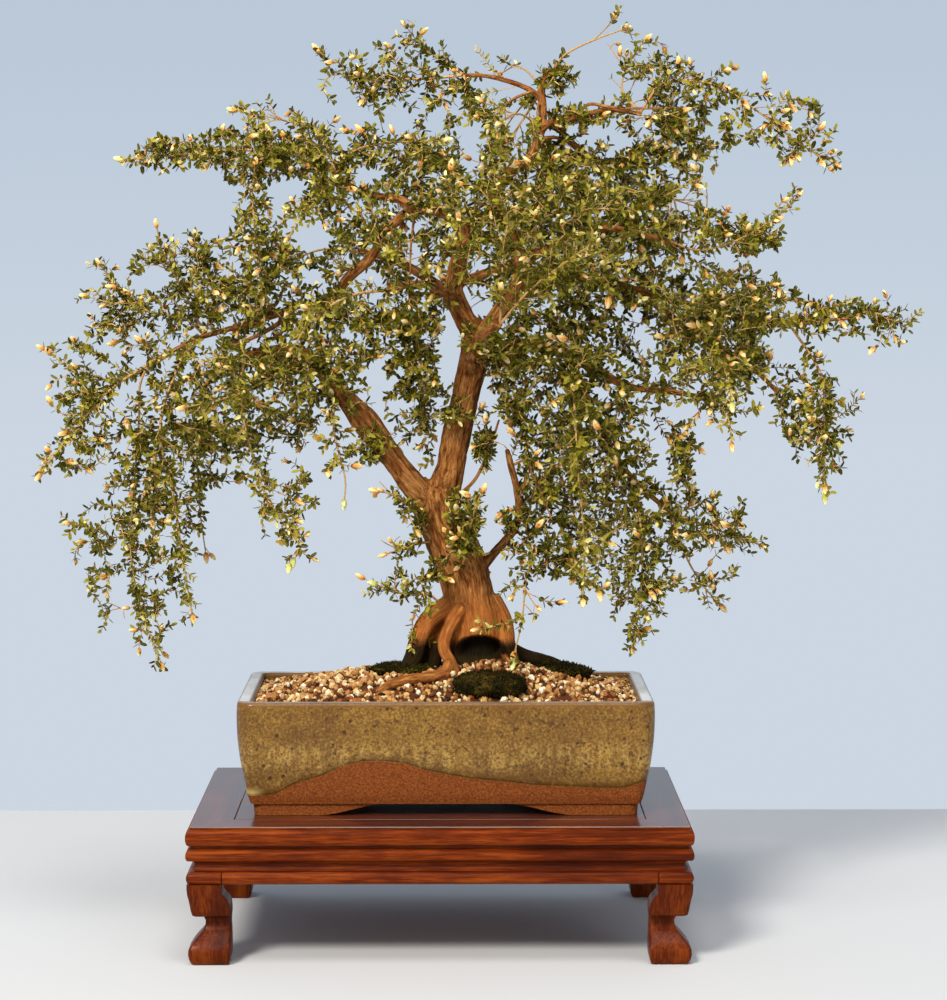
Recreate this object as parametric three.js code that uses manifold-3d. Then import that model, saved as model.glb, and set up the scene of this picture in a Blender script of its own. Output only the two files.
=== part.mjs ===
// Woolly tea tree trained as a bonsai, planted in a part-glazed stoneware pot on a lacquered wooden stand.
// Millimetres, Z up, and the front of the tree faces -Y. The origin is on the table, below the crown's middle.

import * as THREE from "three";
import { mergeVertices } from "three/addons/utils/BufferGeometryUtils.js";
import Module from "manifold-3d";

const wasm = await Module();
wasm.setup();

// Driving dimensions

const GAP = 0.3;

const STAND = {
  width: 430,
  depth: 317,
  height: 120,
  frameWidth: 36,
  panelThickness: 9,
  ledge: 6,
  frameBottom: 81,
  apronBottom: 70,
  legInner: 27.6,
};

const POT = {
  centre: [5, -10],
  width: 364,
  depth: 215,
  height: 101,
  wall: 12,
  corner: 14,
  footHeight: 10.5,
  footInset: 14,
  footWall: 13,
  floorTop: 22,
  drainRadius: 9,
  drainSpacing: 150,
};
POT.base = STAND.height + GAP;

const SOIL = { belowRim: 14, mound: 12, columns: 4, rows: 4 };
const GRAVEL = { belowRim: 4, mound: 24, pebble: 2.4, columns: 14, rows: 8 };
const DRAIN_MESH = { size: 30, thickness: 1.4, hole: 8, spacing: 12 };

const LEAF = { length: 7.5, halfWidth: 1.5, lift: 0.95, seat: 1.3 };
const BUD = { length: 10, radius: 2.9, widest: 0.45 };

// Side twigs, and the share of a stem's length from which and to which they grow.
const TWIG = {
  length: 27,
  rise: 0.12,
  spacing: 170,
  from: 0.34,
  to: 0.88,
  radius: 0.85,
  tipRadius: 0.77,
  sides: 3,
  firstSeat: 6,
  seatSpacing: 10,
};
const STEM = { fork: 15, radius: 1.25, tipRadius: 0.8, sides: 3, firstSeat: 22, seatSpacing: 70 };

// The sight line: a route's points are given as they are seen from the front, [across, down, depth]. Across
// and down are points of a picture 947 wide and 1000 high, and depth is in millimetres behind the trunk.

const PICTURE = { width: 947, height: 1000, focal: 3100 };
const EYE = { x: 9, y: -2790, z: 600.5, down: 4.33, right: 0.43 };

function seen(across, down, depth) {
  const tilt = THREE.MathUtils.degToRad(EYE.down);
  const pan = THREE.MathUtils.degToRad(EYE.right);
  const r = (across - PICTURE.width / 2) / PICTURE.focal;
  const w = (PICTURE.height / 2 - down) / PICTURE.focal;
  const forward = Math.cos(tilt) + w * Math.sin(tilt);
  const ray = new THREE.Vector3(
    r * Math.cos(pan) + forward * Math.sin(pan),
    forward * Math.cos(pan) - r * Math.sin(pan),
    w * Math.cos(tilt) - Math.sin(tilt),
  );
  return new THREE.Vector3(EYE.x, EYE.y, EYE.z).addScaledVector(ray, (depth - EYE.y) / ray.y);
}

// Wood: every limb is a list of [across, down, depth, radius in millimetres]

const LIMBS = {
  trunk: [
    [474, 700, 4, 22], [474, 676, 4, 29], [475, 652, 2, 29], [474, 628, 0, 26], [469, 604, 0, 23.5],
    [466, 582, 0, 22.5], [460, 560, 0, 23.5], [452, 540, 0, 22], [443, 520, 0, 20.5], [438, 500, 0, 19],
    [436, 486, 0, 14],
  ],
  main: [
    [440, 506, 0, 16], [446, 482, 2, 14.5], [451, 466, 4, 13], [455, 440, 6, 13.3], [460, 418, 8, 12.8],
    [465, 398, 10, 12.8], [470, 378, 10, 13.3], [475, 358, 8, 13.5], [477, 342, 6, 14], [475, 328, 5, 10],
  ],
  left_limb: [
    [434, 508, 0, 14], [412, 484, -6, 12.5], [393, 460, -12, 11], [379, 440, -16, 12], [364, 420, -20, 12],
    [351, 404, -22, 9.5], [335, 385, -20, 8], [316, 366, -16, 7], [303, 352, -12, 5.6], [280, 349, -4, 4.2],
    [250, 354, 6, 3.2], [222, 362, 14, 2.2],
  ],
  left_upper_trunk: [
    [475, 336, 5, 12], [461, 312, 8, 10], [455, 298, 8, 9.5], [453, 287, 6, 8.5], [456, 270, 4, 8],
    [462, 250, 2, 8], [466, 236, 0, 8.4], [466, 222, -2, 6.5],
  ],
  upper_left_arm: [
    [466, 238, 0, 7], [458, 225, -4, 6.2], [448, 215, -8, 5.8], [435, 210, -10, 5.6], [412, 206, -12, 5.2],
    [398, 199, -10, 4.2], [378, 196, -6, 3.6], [356, 190, 2, 3.3], [338, 176, 8, 3], [318, 160, 12, 2.8],
    [298, 150, 12, 2.5], [264, 150, 6, 2],
  ],
  lower_left_arm: [
    [414, 207, -12, 4.6], [400, 218, -20, 4.6], [387, 232, -26, 4.6], [370, 258, -30, 4.6],
    [350, 276, -30, 5.2], [338, 291, -26, 4.8], [323, 304, -20, 4], [300, 305, -14, 3.7],
    [275, 315, -6, 3.4], [250, 323, 0, 3], [222, 331, 6, 2.6], [195, 340, 10, 2.3], [152, 361, 14, 1.8],
  ],
  right_fork: [
    [477, 342, 6, 11], [487, 330, 2, 9.5], [497, 315, -2, 8], [507, 300, -4, 7.6], [515, 285, -4, 7.4],
    [521, 268, -2, 6.6],
  ],
  leader: [
    [520, 272, -2, 7], [515, 240, 4, 6.6], [503, 215, 6, 6.4], [496, 195, 4, 6.2], [510, 172, 0, 5.6],
    [530, 157, -2, 5], [539, 138, -2, 4.4], [543, 115, 0, 4], [542, 88, 3, 3.4], [548, 73, 4, 2.7],
    [568, 66, 0, 2],
  ],
  top_left_arch: [
    [541, 100, 2, 3], [530, 90, 6, 2.8], [508, 81, 12, 2.5], [485, 76, 16, 2.2], [462, 75, 18, 1.9],
  ],
  top_right_arch: [
    [540, 132, -2, 3.6], [553, 122, -8, 3.3], [575, 118, -14, 3], [607, 110, -20, 2.6], [642, 114, -24, 2.1],
  ],
  right_high_limb: [
    [541, 122, 0, 3.6], [560, 131, 10, 3.2], [580, 150, 18, 3], [600, 161, 24, 2.8], [625, 159, 30, 2.4],
    [646, 150, 34, 2],
  ],
  right_mid_limb: [
    [518, 260, -3, 5.5], [545, 250, -10, 4.8], [575, 236, -16, 4.2], [605, 228, -22, 3.6],
    [640, 234, -26, 3], [676, 243, -30, 2.3],
  ],
  right_arm: [
    [515, 287, -3, 6.5], [540, 282, 8, 5.8], [570, 278, 14, 5.2], [600, 281, 18, 4.8], [635, 290, 20, 4.4],
    [665, 298, 20, 4], [700, 308, 18, 3.6], [740, 318, 14, 3.1], [780, 325, 10, 2.6], [848, 318, 2, 1.8],
  ],
  right_arm_low: [
    [640, 291, 20, 3.6], [665, 312, 10, 3.4], [700, 335, 0, 3.1], [725, 350, -6, 2.8], [755, 370, -10, 2.4],
    [780, 395, -12, 2],
  ],
  low_right_limb: [
    [480, 355, 6, 8.5], [510, 346, 0, 7], [540, 346, -6, 6.2], [570, 356, -12, 5.6], [600, 372, -16, 4.6],
    [630, 387, -20, 3.7], [665, 391, -22, 3], [697, 396, -24, 2.2],
  ],
  curtain_limb: [
    [568, 355, -12, 4.8], [586, 398, -4, 4.2], [605, 440, 4, 3.6], [625, 470, 10, 3.1], [650, 495, 14, 2.7],
    [672, 513, 16, 2.1],
  ],
  back_limb: [
    [470, 375, 10, 8], [480, 350, 60, 7], [495, 322, 110, 5.6], [520, 300, 150, 4.2], [548, 288, 178, 3],
  ],
  front_limb: [[473, 370, 6, 6.5], [470, 352, -40, 5.4], [480, 336, -80, 4.4], [500, 324, -122, 3.2]],
  back_left_limb: [[456, 302, 8, 6], [430, 280, 50, 5], [398, 262, 92, 4.2], [360, 250, 132, 3]],
  front_left_limb: [[457, 302, 6, 5.4], [440, 290, -40, 4.4], [418, 284, -82, 3.6], [386, 290, -122, 2.6]],
  crossing_branch: [[457, 284, 6, 5], [478, 276, 10, 4.6], [500, 269, 8, 4.6], [518, 262, 0, 4.6]],
  cut_stub: [[474, 238, -4, 3.8], [457, 247, -12, 3.4], [443, 258, -18, 2.8]],
  snag: [
    [484, 566, -10, 4.4], [495, 552, -18, 4.2], [506, 540, -22, 4], [516, 526, -24, 3.8], [519, 506, -24, 3.7],
    [516, 485, -22, 3.5], [511, 466, -20, 3.3], [507, 449, -19, 2.2],
  ],
  left_root: [
    [458, 602, -6, 11], [441, 611, -10, 9.5], [427, 622, -12, 9], [419, 640, -14, 9], [412, 660, -16, 8],
    [398, 682, -18, 6.5], [384, 702, -20, 4],
  ],
  front_root: [
    [463, 606, -14, 8], [455, 617, -24, 6.8], [447, 632, -30, 6.2], [444, 648, -34, 6], [451, 664, -38, 5.8],
    [460, 688, -42, 4.5],
  ],
  creeping_root: [
    [449, 660, -36, 5.4], [446, 671, -46, 5.2], [432, 677, -58, 5.2], [412, 679, -68, 5],
    [392, 684, -76, 4.6], [372, 697, -84, 3.4],
  ],
  right_root: [
    [490, 598, 0, 11], [501, 621, -2, 11], [503, 642, -6, 11.5], [509, 662, -12, 10], [522, 684, -22, 8],
    [530, 708, -30, 5],
  ],
  right_back_root: [[490, 642, 8, 12], [520, 656, 18, 9], [556, 666, 26, 7], [588, 684, 30, 4]],
  back_root: [[472, 640, 14, 13], [466, 660, 42, 9.5], [455, 674, 70, 6]],
};
const LIMB_SIDES = { trunk: 11, main: 9, left_limb: 8, left_upper_trunk: 7, right_fork: 7, right_root: 6 };

// Foliage: every spray is a leafy stem that leaves the wood, and others that fork from it beyond the bark

const SPRAYS = {
  left_curtain_outer: [
    [
      [150, 362, 16], [140, 385, 24], [139, 420, 28], [133, 500, 20], [130, 545, 14], [140, 605, 6],
      [162, 666, 0],
    ],
  ],
  left_curtain_mid: [
    [[196, 340, 8], [176, 372, -30], [160, 430, -44], [174, 500, -52], [183, 560, -56], [193, 618, -60]],
  ],
  left_curtain_inner: [[[224, 360, 14], [206, 390, 50], [198, 440, 66], [199, 500, 70], [206, 556, 72]]],
  left_tip_high: [[[176, 350, 12], [140, 372, 56], [100, 380, 80], [72, 370, 96], [49, 352, 108]]],
  left_tip_low: [[[160, 357, 13], [110, 390, -12], [76, 428, -30], [39, 476, -46]]],
  left_rise: [
    [[205, 336, 9], [184, 318, 20], [150, 312, 34], [118, 288, 48], [99, 263, 56]],
    [[205, 336, 9], [184, 292, -16], [164, 256, -34], [156, 224, -44]],
    [[205, 336, 9], [214, 292, 24], [206, 262, 34], [197, 237, 42]],
  ],
  left_hook: [
    [[246, 354, 7], [240, 400, -46], [262, 486, -66], [284, 524, -74], [299, 543, -80], [293, 563, -84]],
  ],
  left_pad_front: [[[303, 352, -14], [270, 378, -80], [226, 398, -122], [182, 408, -140]]],
  left_pad_back: [[[290, 350, -6], [262, 362, 70], [216, 372, 128], [172, 384, 162]]],
  left_inner_drop: [
    [[335, 386, -20], [334, 430, -44], [345, 478, -60], [344, 503, -66]],
    [[335, 386, -20], [306, 408, 20], [298, 448, 40]],
  ],
  upper_left_tip: [
    [[266, 150, 6], [215, 151, -4], [168, 156, -14], [124, 160, -20]],
    [[266, 150, 6], [252, 190, -30], [258, 240, -46], [262, 298, -56]],
  ],
  upper_left_crest: [
    [[336, 174, 8], [320, 134, 34], [282, 120, 52], [234, 110, 64]],
    [[336, 174, 8], [356, 150, -26], [398, 142, -44], [442, 143, -56]],
  ],
  upper_left_front: [[[318, 160, 12], [322, 190, -50], [306, 212, -90], [286, 240, -112]]],
  hanging_twigs: [[[404, 214, -18], [400, 240, 12], [408, 285, 26], [414, 345, 22], [425, 420, 14]]],
  crown_left: [
    [[464, 75, 18], [420, 79, 22], [372, 77, 26], [335, 72, 28], [317, 50, 26]],
    [[464, 75, 18], [444, 62, 40], [422, 48, 54], [404, 42, 62]],
    [[464, 75, 18], [468, 102, -20], [484, 122, -40], [498, 138, -52]],
  ],
  crown_peak: [[[552, 72, 4], [566, 54, -16], [594, 40, -30], [627, 28, -40]]],
  crown_back: [
    [[542, 90, 3], [530, 74, 80], [516, 66, 140], [500, 74, 192]],
    [[542, 90, 3], [524, 104, 58], [508, 124, 96], [496, 148, 118]],
    [[542, 90, 3], [520, 124, 42], [498, 156, 58], [480, 188, 64]],
  ],
  crown_front: [
    [[540, 132, -3], [528, 118, -70], [514, 114, -130], [498, 124, -182]],
    [[540, 132, -3], [548, 156, -44], [546, 182, -72], [538, 208, -92]],
  ],
  crown_right: [
    [[640, 113, -24], [664, 84, -30], [712, 84, -36], [756, 110, -40], [800, 144, -44], [838, 165, -46]],
    [[640, 113, -24], [622, 88, 10], [632, 58, 30], [648, 38, 42]],
  ],
  crown_right_hang: [
    [[646, 150, 34], [680, 157, 60], [712, 147, 78]],
    [[646, 150, 34], [672, 194, 20], [678, 226, 14], [682, 260, 8]],
  ],
  right_high_tip: [[[668, 241, -29], [700, 250, -50], [742, 238, -66], [782, 212, -78], [800, 194, -84]]],
  right_high_back: [
    [[600, 161, 24], [640, 186, 90], [688, 204, 150], [724, 214, 196]],
    [[600, 161, 24], [614, 196, 70], [614, 224, 108], [606, 254, 134]],
  ],
  right_high_front: [[[612, 229, -23], [640, 206, -80], [664, 196, -120], [700, 178, -150]]],
  right_tip: [[[846, 318, 2], [868, 312, -6], [886, 318, -12], [896, 340, -16]]],
  right_low_tip: [[[790, 325, 9], [820, 372, -18], [824, 410, -26], [824, 462, -32], [825, 496, -36]]],
  low_right_end: [[[690, 395, -23], [712, 400, -60], [728, 418, -84], [732, 446, -98]]],
  front_left_end: [[[388, 290, -121], [350, 296, -146], [314, 318, -160], [290, 352, -168]]],
  back_left_end: [
    [[362, 251, 130], [320, 250, 158], [282, 268, 178], [252, 300, 188]],
    [[362, 251, 130], [380, 230, 150], [412, 216, 156], [444, 208, 158]],
  ],
  right_mid: [[[770, 384, -11], [798, 402, 20], [822, 428, 44], [835, 467, 56]]],
  right_front: [[[700, 335, 0], [718, 356, -70], [728, 380, -112], [732, 406, -136]]],
  right_back: [[[690, 305, 19], [720, 300, 90], [762, 300, 142], [802, 300, 178]]],
  lower_right: [
    [[670, 512, 16], [712, 528, 10], [764, 546, 2]],
    [[670, 512, 16], [686, 556, 40], [702, 584, 50], [722, 607, 56]],
  ],
  lower_right_curtain: [[[632, 477, 11], [640, 520, -26], [642, 580, -42], [633, 651, -52]]],
  centre_curtain_front: [
    [[570, 357, -15], [574, 400, -84], [578, 470, -112], [584, 540, -120], [583, 600, -122]],
  ],
  centre_curtain_back: [[[576, 376, -10], [584, 400, 70], [574, 456, 118], [562, 530, 134]]],
  trunk_right_hang: [[[478, 556, -14], [534, 545, -34], [526, 580, -44], [522, 620, -48], [514, 655, -50]]],
  trunk_left_low: [[[432, 596, -12], [402, 593, -26], [374, 584, -36]]],
  trunk_left_mid: [
    [[432, 541, -10], [410, 546, -20], [384, 555, -30]],
    [[432, 541, -10], [412, 510, -36], [396, 496, -50], [376, 491, -58]],
  ],
  trunk_front: [[[462, 566, -20], [470, 530, -56], [476, 506, -70], [484, 489, -78]]],
  centre_front: [
    [[500, 324, -122], [530, 290, -150], [566, 262, -176], [598, 240, -196]],
    [[500, 324, -122], [502, 284, -140], [504, 244, -140], [512, 208, -136]],
  ],
  centre_back: [
    [[548, 288, 178], [568, 250, 200], [590, 226, 216], [622, 214, 226]],
    [[548, 288, 178], [544, 252, 164], [530, 220, 148], [514, 192, 140]],
  ],
};

// Looks

const COLOURS = {
  bark: ["#8a5a3a", 0.9],
  leaf: ["#56601f", 0.7],
  glaze: ["#8f7040", 0.4],
  soil: ["#3d2c20", 1],
  gravel: ["#b58a5e", 0.9],
  moss: ["#2f3a1a", 1],
  lacquer: ["#7a3416", 0.35],
  plastic: ["#2a2d2c", 0.6],
};

function material(look) {
  const [color, roughness] = COLOURS[look];
  return new THREE.MeshStandardMaterial({ color, roughness, metalness: 0 });
}

// Solids

function solidOf(geometry) {
  const bare = geometry.clone();
  bare.deleteAttribute("normal");
  bare.deleteAttribute("uv");
  const merged = mergeVertices(bare, 1e-4);
  const vertProperties = new Float32Array(merged.attributes.position.array);
  const triVerts = new Uint32Array(merged.index.array);
  return new wasm.Manifold(new wasm.Mesh({ numProp: 3, vertProperties, triVerts }));
}

function geometryOf(solid) {
  const mesh = solid.getMesh();
  const geometry = new THREE.BufferGeometry();
  geometry.setAttribute("position", new THREE.BufferAttribute(new Float32Array(mesh.vertProperties), 3));
  geometry.setIndex(new THREE.BufferAttribute(new Uint32Array(mesh.triVerts), 1));
  return geometry;
}

function faceted(vertices, faces) {
  const geometry = new THREE.BufferGeometry();
  const numbers = vertices.flatMap((v) => [v.x, v.y, v.z]);
  geometry.setAttribute("position", new THREE.Float32BufferAttribute(numbers, 3));
  geometry.setIndex(faces.flat());
  return geometry;
}

function joined(solids) {
  return solids.reduce((whole, solid) => whole.add(solid));
}

// The largest of the bodies that a cut leaves.
function largest(solid) {
  return solid.decompose().reduce((a, b) => (b.volume() > a.volume() ? b : a));
}

function touches(a, b) {
  const boxA = a.boundingBox();
  const boxB = b.boundingBox();
  const apart = [0, 1, 2].some((i) => boxA.max[i] < boxB.min[i] || boxB.max[i] < boxA.min[i]);
  return !apart && a.intersect(b).volume() > 1e-4;
}

// A number from 0 to 1 that looks random and is the same in every run.
function chance(n, seed) {
  const s = Math.sin(n * 12.9898 + seed * 78.233) * 43758.5453;
  return s - Math.floor(s);
}

// Rings of points, one above the other, closed at both ends

function stack(rings) {
  const count = rings[0].length;
  const faces = [];
  for (let k = 0; k + 1 < rings.length; k++) {
    for (let j = 0; j < count; j++) {
      const a = k * count + j;
      const b = k * count + ((j + 1) % count);
      faces.push([a, b, b + count], [a, b + count, a + count]);
    }
  }
  const top = (rings.length - 1) * count;
  for (let j = 1; j + 1 < count; j++) {
    faces.push([0, j + 1, j], [top, top + j, top + j + 1]);
  }
  return faceted(rings.flat(), faces);
}

// A closed outline of [outset, height] pairs carried round a rectangle, mitred at its corners.
function mitredRing(halfWidth, halfDepth, outline) {
  const corners = [[-1, -1], [1, -1], [1, 1], [-1, 1]];
  const vertices = corners.flatMap(([sx, sy]) =>
    outline.map(([out, z]) => new THREE.Vector3(sx * (halfWidth + out), sy * (halfDepth + out), z)),
  );
  const count = outline.length;
  const faces = [];
  for (let c = 0; c < 4; c++) {
    for (let j = 0; j < count; j++) {
      const a = c * count + j;
      const b = c * count + ((j + 1) % count);
      const next = ((c + 1) % 4) * count;
      const d = next + j;
      const e = next + ((j + 1) % count);
      faces.push([a, d, e], [a, e, b]);
    }
  }
  return faceted(vertices, faces);
}

// One level of a box with rounded upright corners.
function roundedRing(halfWidth, halfDepth, corner, z, steps = 3) {
  const centres = [[1, 1, 0], [-1, 1, 90], [-1, -1, 180], [1, -1, 270]];
  return centres.flatMap(([sx, sy, start]) =>
    Array.from({ length: steps + 1 }, (_, i) => {
      const angle = THREE.MathUtils.degToRad(start + (90 * i) / steps);
      const x = sx * (halfWidth - corner) + corner * Math.cos(angle);
      const y = sy * (halfDepth - corner) + corner * Math.sin(angle);
      return new THREE.Vector3(x, y, z);
    }),
  );
}

// Stand

const FRAME_OUTLINE = [
  [-STAND.frameWidth, STAND.height], [-STAND.frameWidth, STAND.height - STAND.panelThickness - GAP],
  [-STAND.frameWidth - STAND.ledge, STAND.height - STAND.panelThickness - GAP],
  [-STAND.frameWidth - STAND.ledge, STAND.frameBottom], [-3.5, STAND.frameBottom], [-4, 84], [-2.5, 88],
  [2, 90.5], [3.4, 93.5], [3.4, 97], [2, 99.7], [-1.6, 100.3], [-1.6, 103.2], [1.6, 104.2], [3.5, 108],
  [3.5, 113], [1.6, 117], [0, 118.2], [0, STAND.height],
];

const APRON_OUTLINE = [[-12, 0], [0, 0], [2.6, 1.4], [3.4, 4.6], [2.6, 8], [0, 10.7], [-12, 10.7]];

// Height, outer reach beyond the top's edge, inner edge measured back from it.
const LEG_OUTLINE = [
  [0, -1.5, -33], [3, 0.8, -34], [10, 2, -34.5], [16, 1.2, -34.5], [24, -6, -34.5], [31, -12.2, -34.5],
  [37, -12.2, -34.5], [41, -9, -34.5], [42, -1.5, -34.5], [50, 0, -34.5], [58, 1.6, -31],
  [62, 2.8, -STAND.legInner], [STAND.frameBottom - GAP, 2.8, -STAND.legInner],
];

function standPanel() {
  const width = STAND.width - 2 * (STAND.frameWidth + GAP);
  const depth = STAND.depth - 2 * (STAND.frameWidth + GAP);
  const mesh = new THREE.Mesh(new THREE.BoxGeometry(width, depth, STAND.panelThickness), material("lacquer"));
  mesh.name = "stand_panel";
  mesh.position.z = STAND.height - STAND.panelThickness / 2;
  return mesh;
}

function standFrame() {
  const geometry = mitredRing(STAND.width / 2, STAND.depth / 2, FRAME_OUTLINE);
  const mesh = new THREE.Mesh(geometry, material("lacquer"));
  mesh.name = "stand_frame";
  return mesh;
}

function standLegs() {
  const sides = { front_left: [-1, -1], front_right: [1, -1], back_right: [1, 1], back_left: [-1, 1] };
  return Object.entries(sides).map(([name, [sx, sy]]) => {
    const rings = LEG_OUTLINE.map(([z, out, inner]) => {
      const square = [[inner, inner], [out, inner], [out, out], [inner, out]];
      const ring = square.map(([x, y]) => new THREE.Vector3(sx * x, sy * y, z));
      return sx * sy > 0 ? ring : ring.toReversed();
    });
    const mesh = new THREE.Mesh(stack(rings), material("lacquer"));
    mesh.name = "stand_leg_" + name;
    mesh.position.set((sx * STAND.width) / 2, (sy * STAND.depth) / 2, 0);
    return mesh;
  });
}

function standAprons() {
  const runs = {
    front: [STAND.width, 0, -STAND.depth / 2],
    right: [STAND.depth, 90, -STAND.width / 2],
    back: [STAND.width, 180, -STAND.depth / 2],
    left: [STAND.depth, 270, -STAND.width / 2],
  };
  return Object.entries(runs).map(([name, [span, turn, reach]]) => {
    const length = span - 2 * (STAND.legInner + GAP);
    const outline = new THREE.Shape(APRON_OUTLINE.map(([out, z]) => new THREE.Vector2(-out, z)).toReversed());
    const geometry = new THREE.ExtrudeGeometry(outline, { depth: length, bevelEnabled: false });
    geometry.translate(0, 0, -length / 2);
    geometry.rotateX(Math.PI / 2);
    geometry.rotateZ(Math.PI / 2);
    const mesh = new THREE.Mesh(geometry, material("lacquer"));
    mesh.name = "stand_apron_" + name;
    mesh.position.set(0, reach, STAND.apronBottom);
    const turned = new THREE.Group();
    turned.rotation.z = THREE.MathUtils.degToRad(turn);
    turned.add(mesh);
    return turned;
  });
}

// Pot: [outset from the rim's edge, height above the stand]

const POT_OUTSIDE = [
  [-11, POT.footHeight], [-8.5, 18], [-5.5, 33], [-2.4, 49], [0, 70], [0.6, 88], [0.3, 97], [-1, 100.2],
  [-3, POT.height],
];
const POT_INSIDE = [[-18, POT.floorTop], [-16.5, 50], [-13, 90], [-11.5, POT.height - 1]];

function potRing(outset, z, corner) {
  return roundedRing(POT.width / 2 + outset, POT.depth / 2 + outset, corner, z);
}

function potHollow(shrink = 0) {
  const open = [...POT_INSIDE, [-11.5, POT.height + 60]];
  const raised = open.map(([out, z], i) => (i === 0 ? [out, z + shrink] : [out, z]));
  return solidOf(stack(raised.map(([out, z]) => potRing(out - shrink, z, 4))));
}

function footArch(span, shoulder, rise, length) {
  const outline = new THREE.Shape([
    new THREE.Vector2(-span / 2, -1),
    new THREE.Vector2(span / 2, -1),
    new THREE.Vector2(span / 2, 0.6),
    new THREE.Vector2(shoulder / 2, rise),
    new THREE.Vector2(-shoulder / 2, rise),
    new THREE.Vector2(-span / 2, 0.6),
  ]);
  const geometry = new THREE.ExtrudeGeometry(outline, { depth: length, bevelEnabled: false });
  geometry.translate(0, 0, -length / 2);
  geometry.rotateX(Math.PI / 2);
  return geometry;
}

function potSolid() {
  const body = solidOf(stack(POT_OUTSIDE.map(([out, z]) => potRing(out, z, POT.corner))));
  const band = solidOf(
    stack([potRing(-POT.footInset, 0, 8), potRing(-POT.footInset + 1, POT.footHeight + 2, 8)]),
  );
  const under = -POT.footInset - POT.footWall;
  const middle = solidOf(stack([potRing(under, -1, 4), potRing(under, POT.footHeight, 4)]));
  const arches = [
    footArch(226, 100, POT.footHeight, POT.depth + 20),
    footArch(120, 56, POT.footHeight, POT.width + 20).rotateZ(Math.PI / 2),
  ].map(solidOf);
  const drains = [-1, 1].map((side) => {
    const hole = new THREE.CylinderGeometry(POT.drainRadius, POT.drainRadius, 60, 16);
    hole.rotateX(Math.PI / 2);
    hole.translate((side * POT.drainSpacing) / 2, 0, POT.footHeight);
    return solidOf(hole);
  });
  const cuts = joined([middle, ...arches]);
  return joined([body, band.subtract(cuts)]).subtract(potHollow()).subtract(joined(drains));
}

function potMesh() {
  const mesh = new THREE.Mesh(geometryOf(potSolid()), material("glaze"));
  mesh.name = "pot";
  mesh.position.set(POT.centre[0], POT.centre[1], POT.base);
  return mesh;
}

// Square pieces of plastic mesh over the drain holes

function boxSolid(x, y, z, width, depth, height) {
  return solidOf(new THREE.BoxGeometry(width, depth, height).translate(x, y, z));
}

function drainMesh(side) {
  const { size, thickness, hole, spacing } = DRAIN_MESH;
  const steps = [-spacing / 2, spacing / 2];
  const holes = steps.flatMap((x) => steps.map((y) => boxSolid(x, y, 0, hole, hole, 2 * thickness)));
  const solid = boxSolid(0, 0, 0, size, size, thickness).subtract(joined(holes));
  const mesh = new THREE.Mesh(geometryOf(solid), material("plastic"));
  mesh.name = side < 0 ? "drain_mesh_left" : "drain_mesh_right";
  const x = POT.centre[0] + (side * POT.drainSpacing) / 2;
  mesh.position.set(x, POT.centre[1], POT.base + POT.floorTop + GAP + thickness / 2);
  return mesh;
}

// Wood

const ACROSS = new THREE.Vector3(0, -1, 0);

function framesAlong(points) {
  const tangents = points.map((_, i) => {
    const before = points[Math.max(i - 1, 0)];
    const after = points[Math.min(i + 1, points.length - 1)];
    return after.clone().sub(before).normalize();
  });
  let side = new THREE.Vector3().crossVectors(tangents[0], ACROSS);
  return tangents.map((tangent) => {
    side = side.clone().addScaledVector(tangent, -side.dot(tangent)).normalize();
    return { tangent, side, up: new THREE.Vector3().crossVectors(tangent, side) };
  });
}

function limbSolid(name, grow) {
  const route = LIMBS[name];
  const sides = LIMB_SIDES[name] ?? 5;
  const points = route.map(([across, down, depth]) => seen(across, down, depth));
  const frames = framesAlong(points);
  const rings = points.map((point, k) => {
    const radius = route[k][3] + grow;
    const fluting = route[k][3] > 15 ? 0.1 : 0.03;
    return Array.from({ length: sides }, (_, j) => {
      const angle = (2 * Math.PI * j) / sides;
      const wave = 1 + fluting * Math.cos(3 * angle + 0.5 * k);
      const reach = radius * wave;
      return point
        .clone()
        .addScaledVector(frames[k].side, reach * Math.cos(angle))
        .addScaledVector(frames[k].up, reach * Math.sin(angle));
    });
  });
  return solidOf(stack(rings));
}

function woodSolid(grow = 0) {
  return joined(Object.keys(LIMBS).map((name) => limbSolid(name, grow))).simplify(0.12);
}

// Ground: soil, gravel, stone and moss

// Share of the mound's height at a place in the pot, 1 at the trunk and 0 at the walls.
function moundAt(x, y) {
  const u = x / (POT.width / 2 - POT.wall);
  const v = y / (POT.depth / 2 - POT.wall);
  return Math.max(0, 1 - u * u) ** 0.8 * Math.max(0, 1 - v * v) ** 0.7;
}

// A block with an uneven top, wider than the pot's hollow.
function groundBlock(columns, rows, bottom, top, margin) {
  const halfWidth = POT.width / 2 + margin;
  const halfDepth = POT.depth / 2 + margin;
  const vertices = [];
  for (const height of [() => bottom, top]) {
    for (let j = 0; j <= rows; j++) {
      for (let i = 0; i <= columns; i++) {
        const x = halfWidth * ((2 * i) / columns - 1);
        const y = halfDepth * ((2 * j) / rows - 1);
        vertices.push(new THREE.Vector3(x, y, height(x, y, i + j * columns)));
      }
    }
  }
  const layer = (columns + 1) * (rows + 1);
  const at = (i, j) => i + j * (columns + 1);
  const faces = [];
  for (let j = 0; j < rows; j++) {
    for (let i = 0; i < columns; i++) {
      const [a, b, c, d] = [at(i, j), at(i + 1, j), at(i + 1, j + 1), at(i, j + 1)];
      faces.push([a, d, c], [a, c, b]);
      faces.push([a + layer, b + layer, c + layer], [a + layer, c + layer, d + layer]);
    }
  }
  const border = [];
  for (let i = 0; i < columns; i++) border.push(at(i, 0));
  for (let j = 0; j < rows; j++) border.push(at(columns, j));
  for (let i = columns; i > 0; i--) border.push(at(i, rows));
  for (let j = rows; j > 0; j--) border.push(at(0, j));
  border.forEach((a, k) => {
    const b = border[(k + 1) % border.length];
    faces.push([a, b, b + layer], [a, b + layer, a + layer]);
  });
  return solidOf(faceted(vertices, faces));
}

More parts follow.
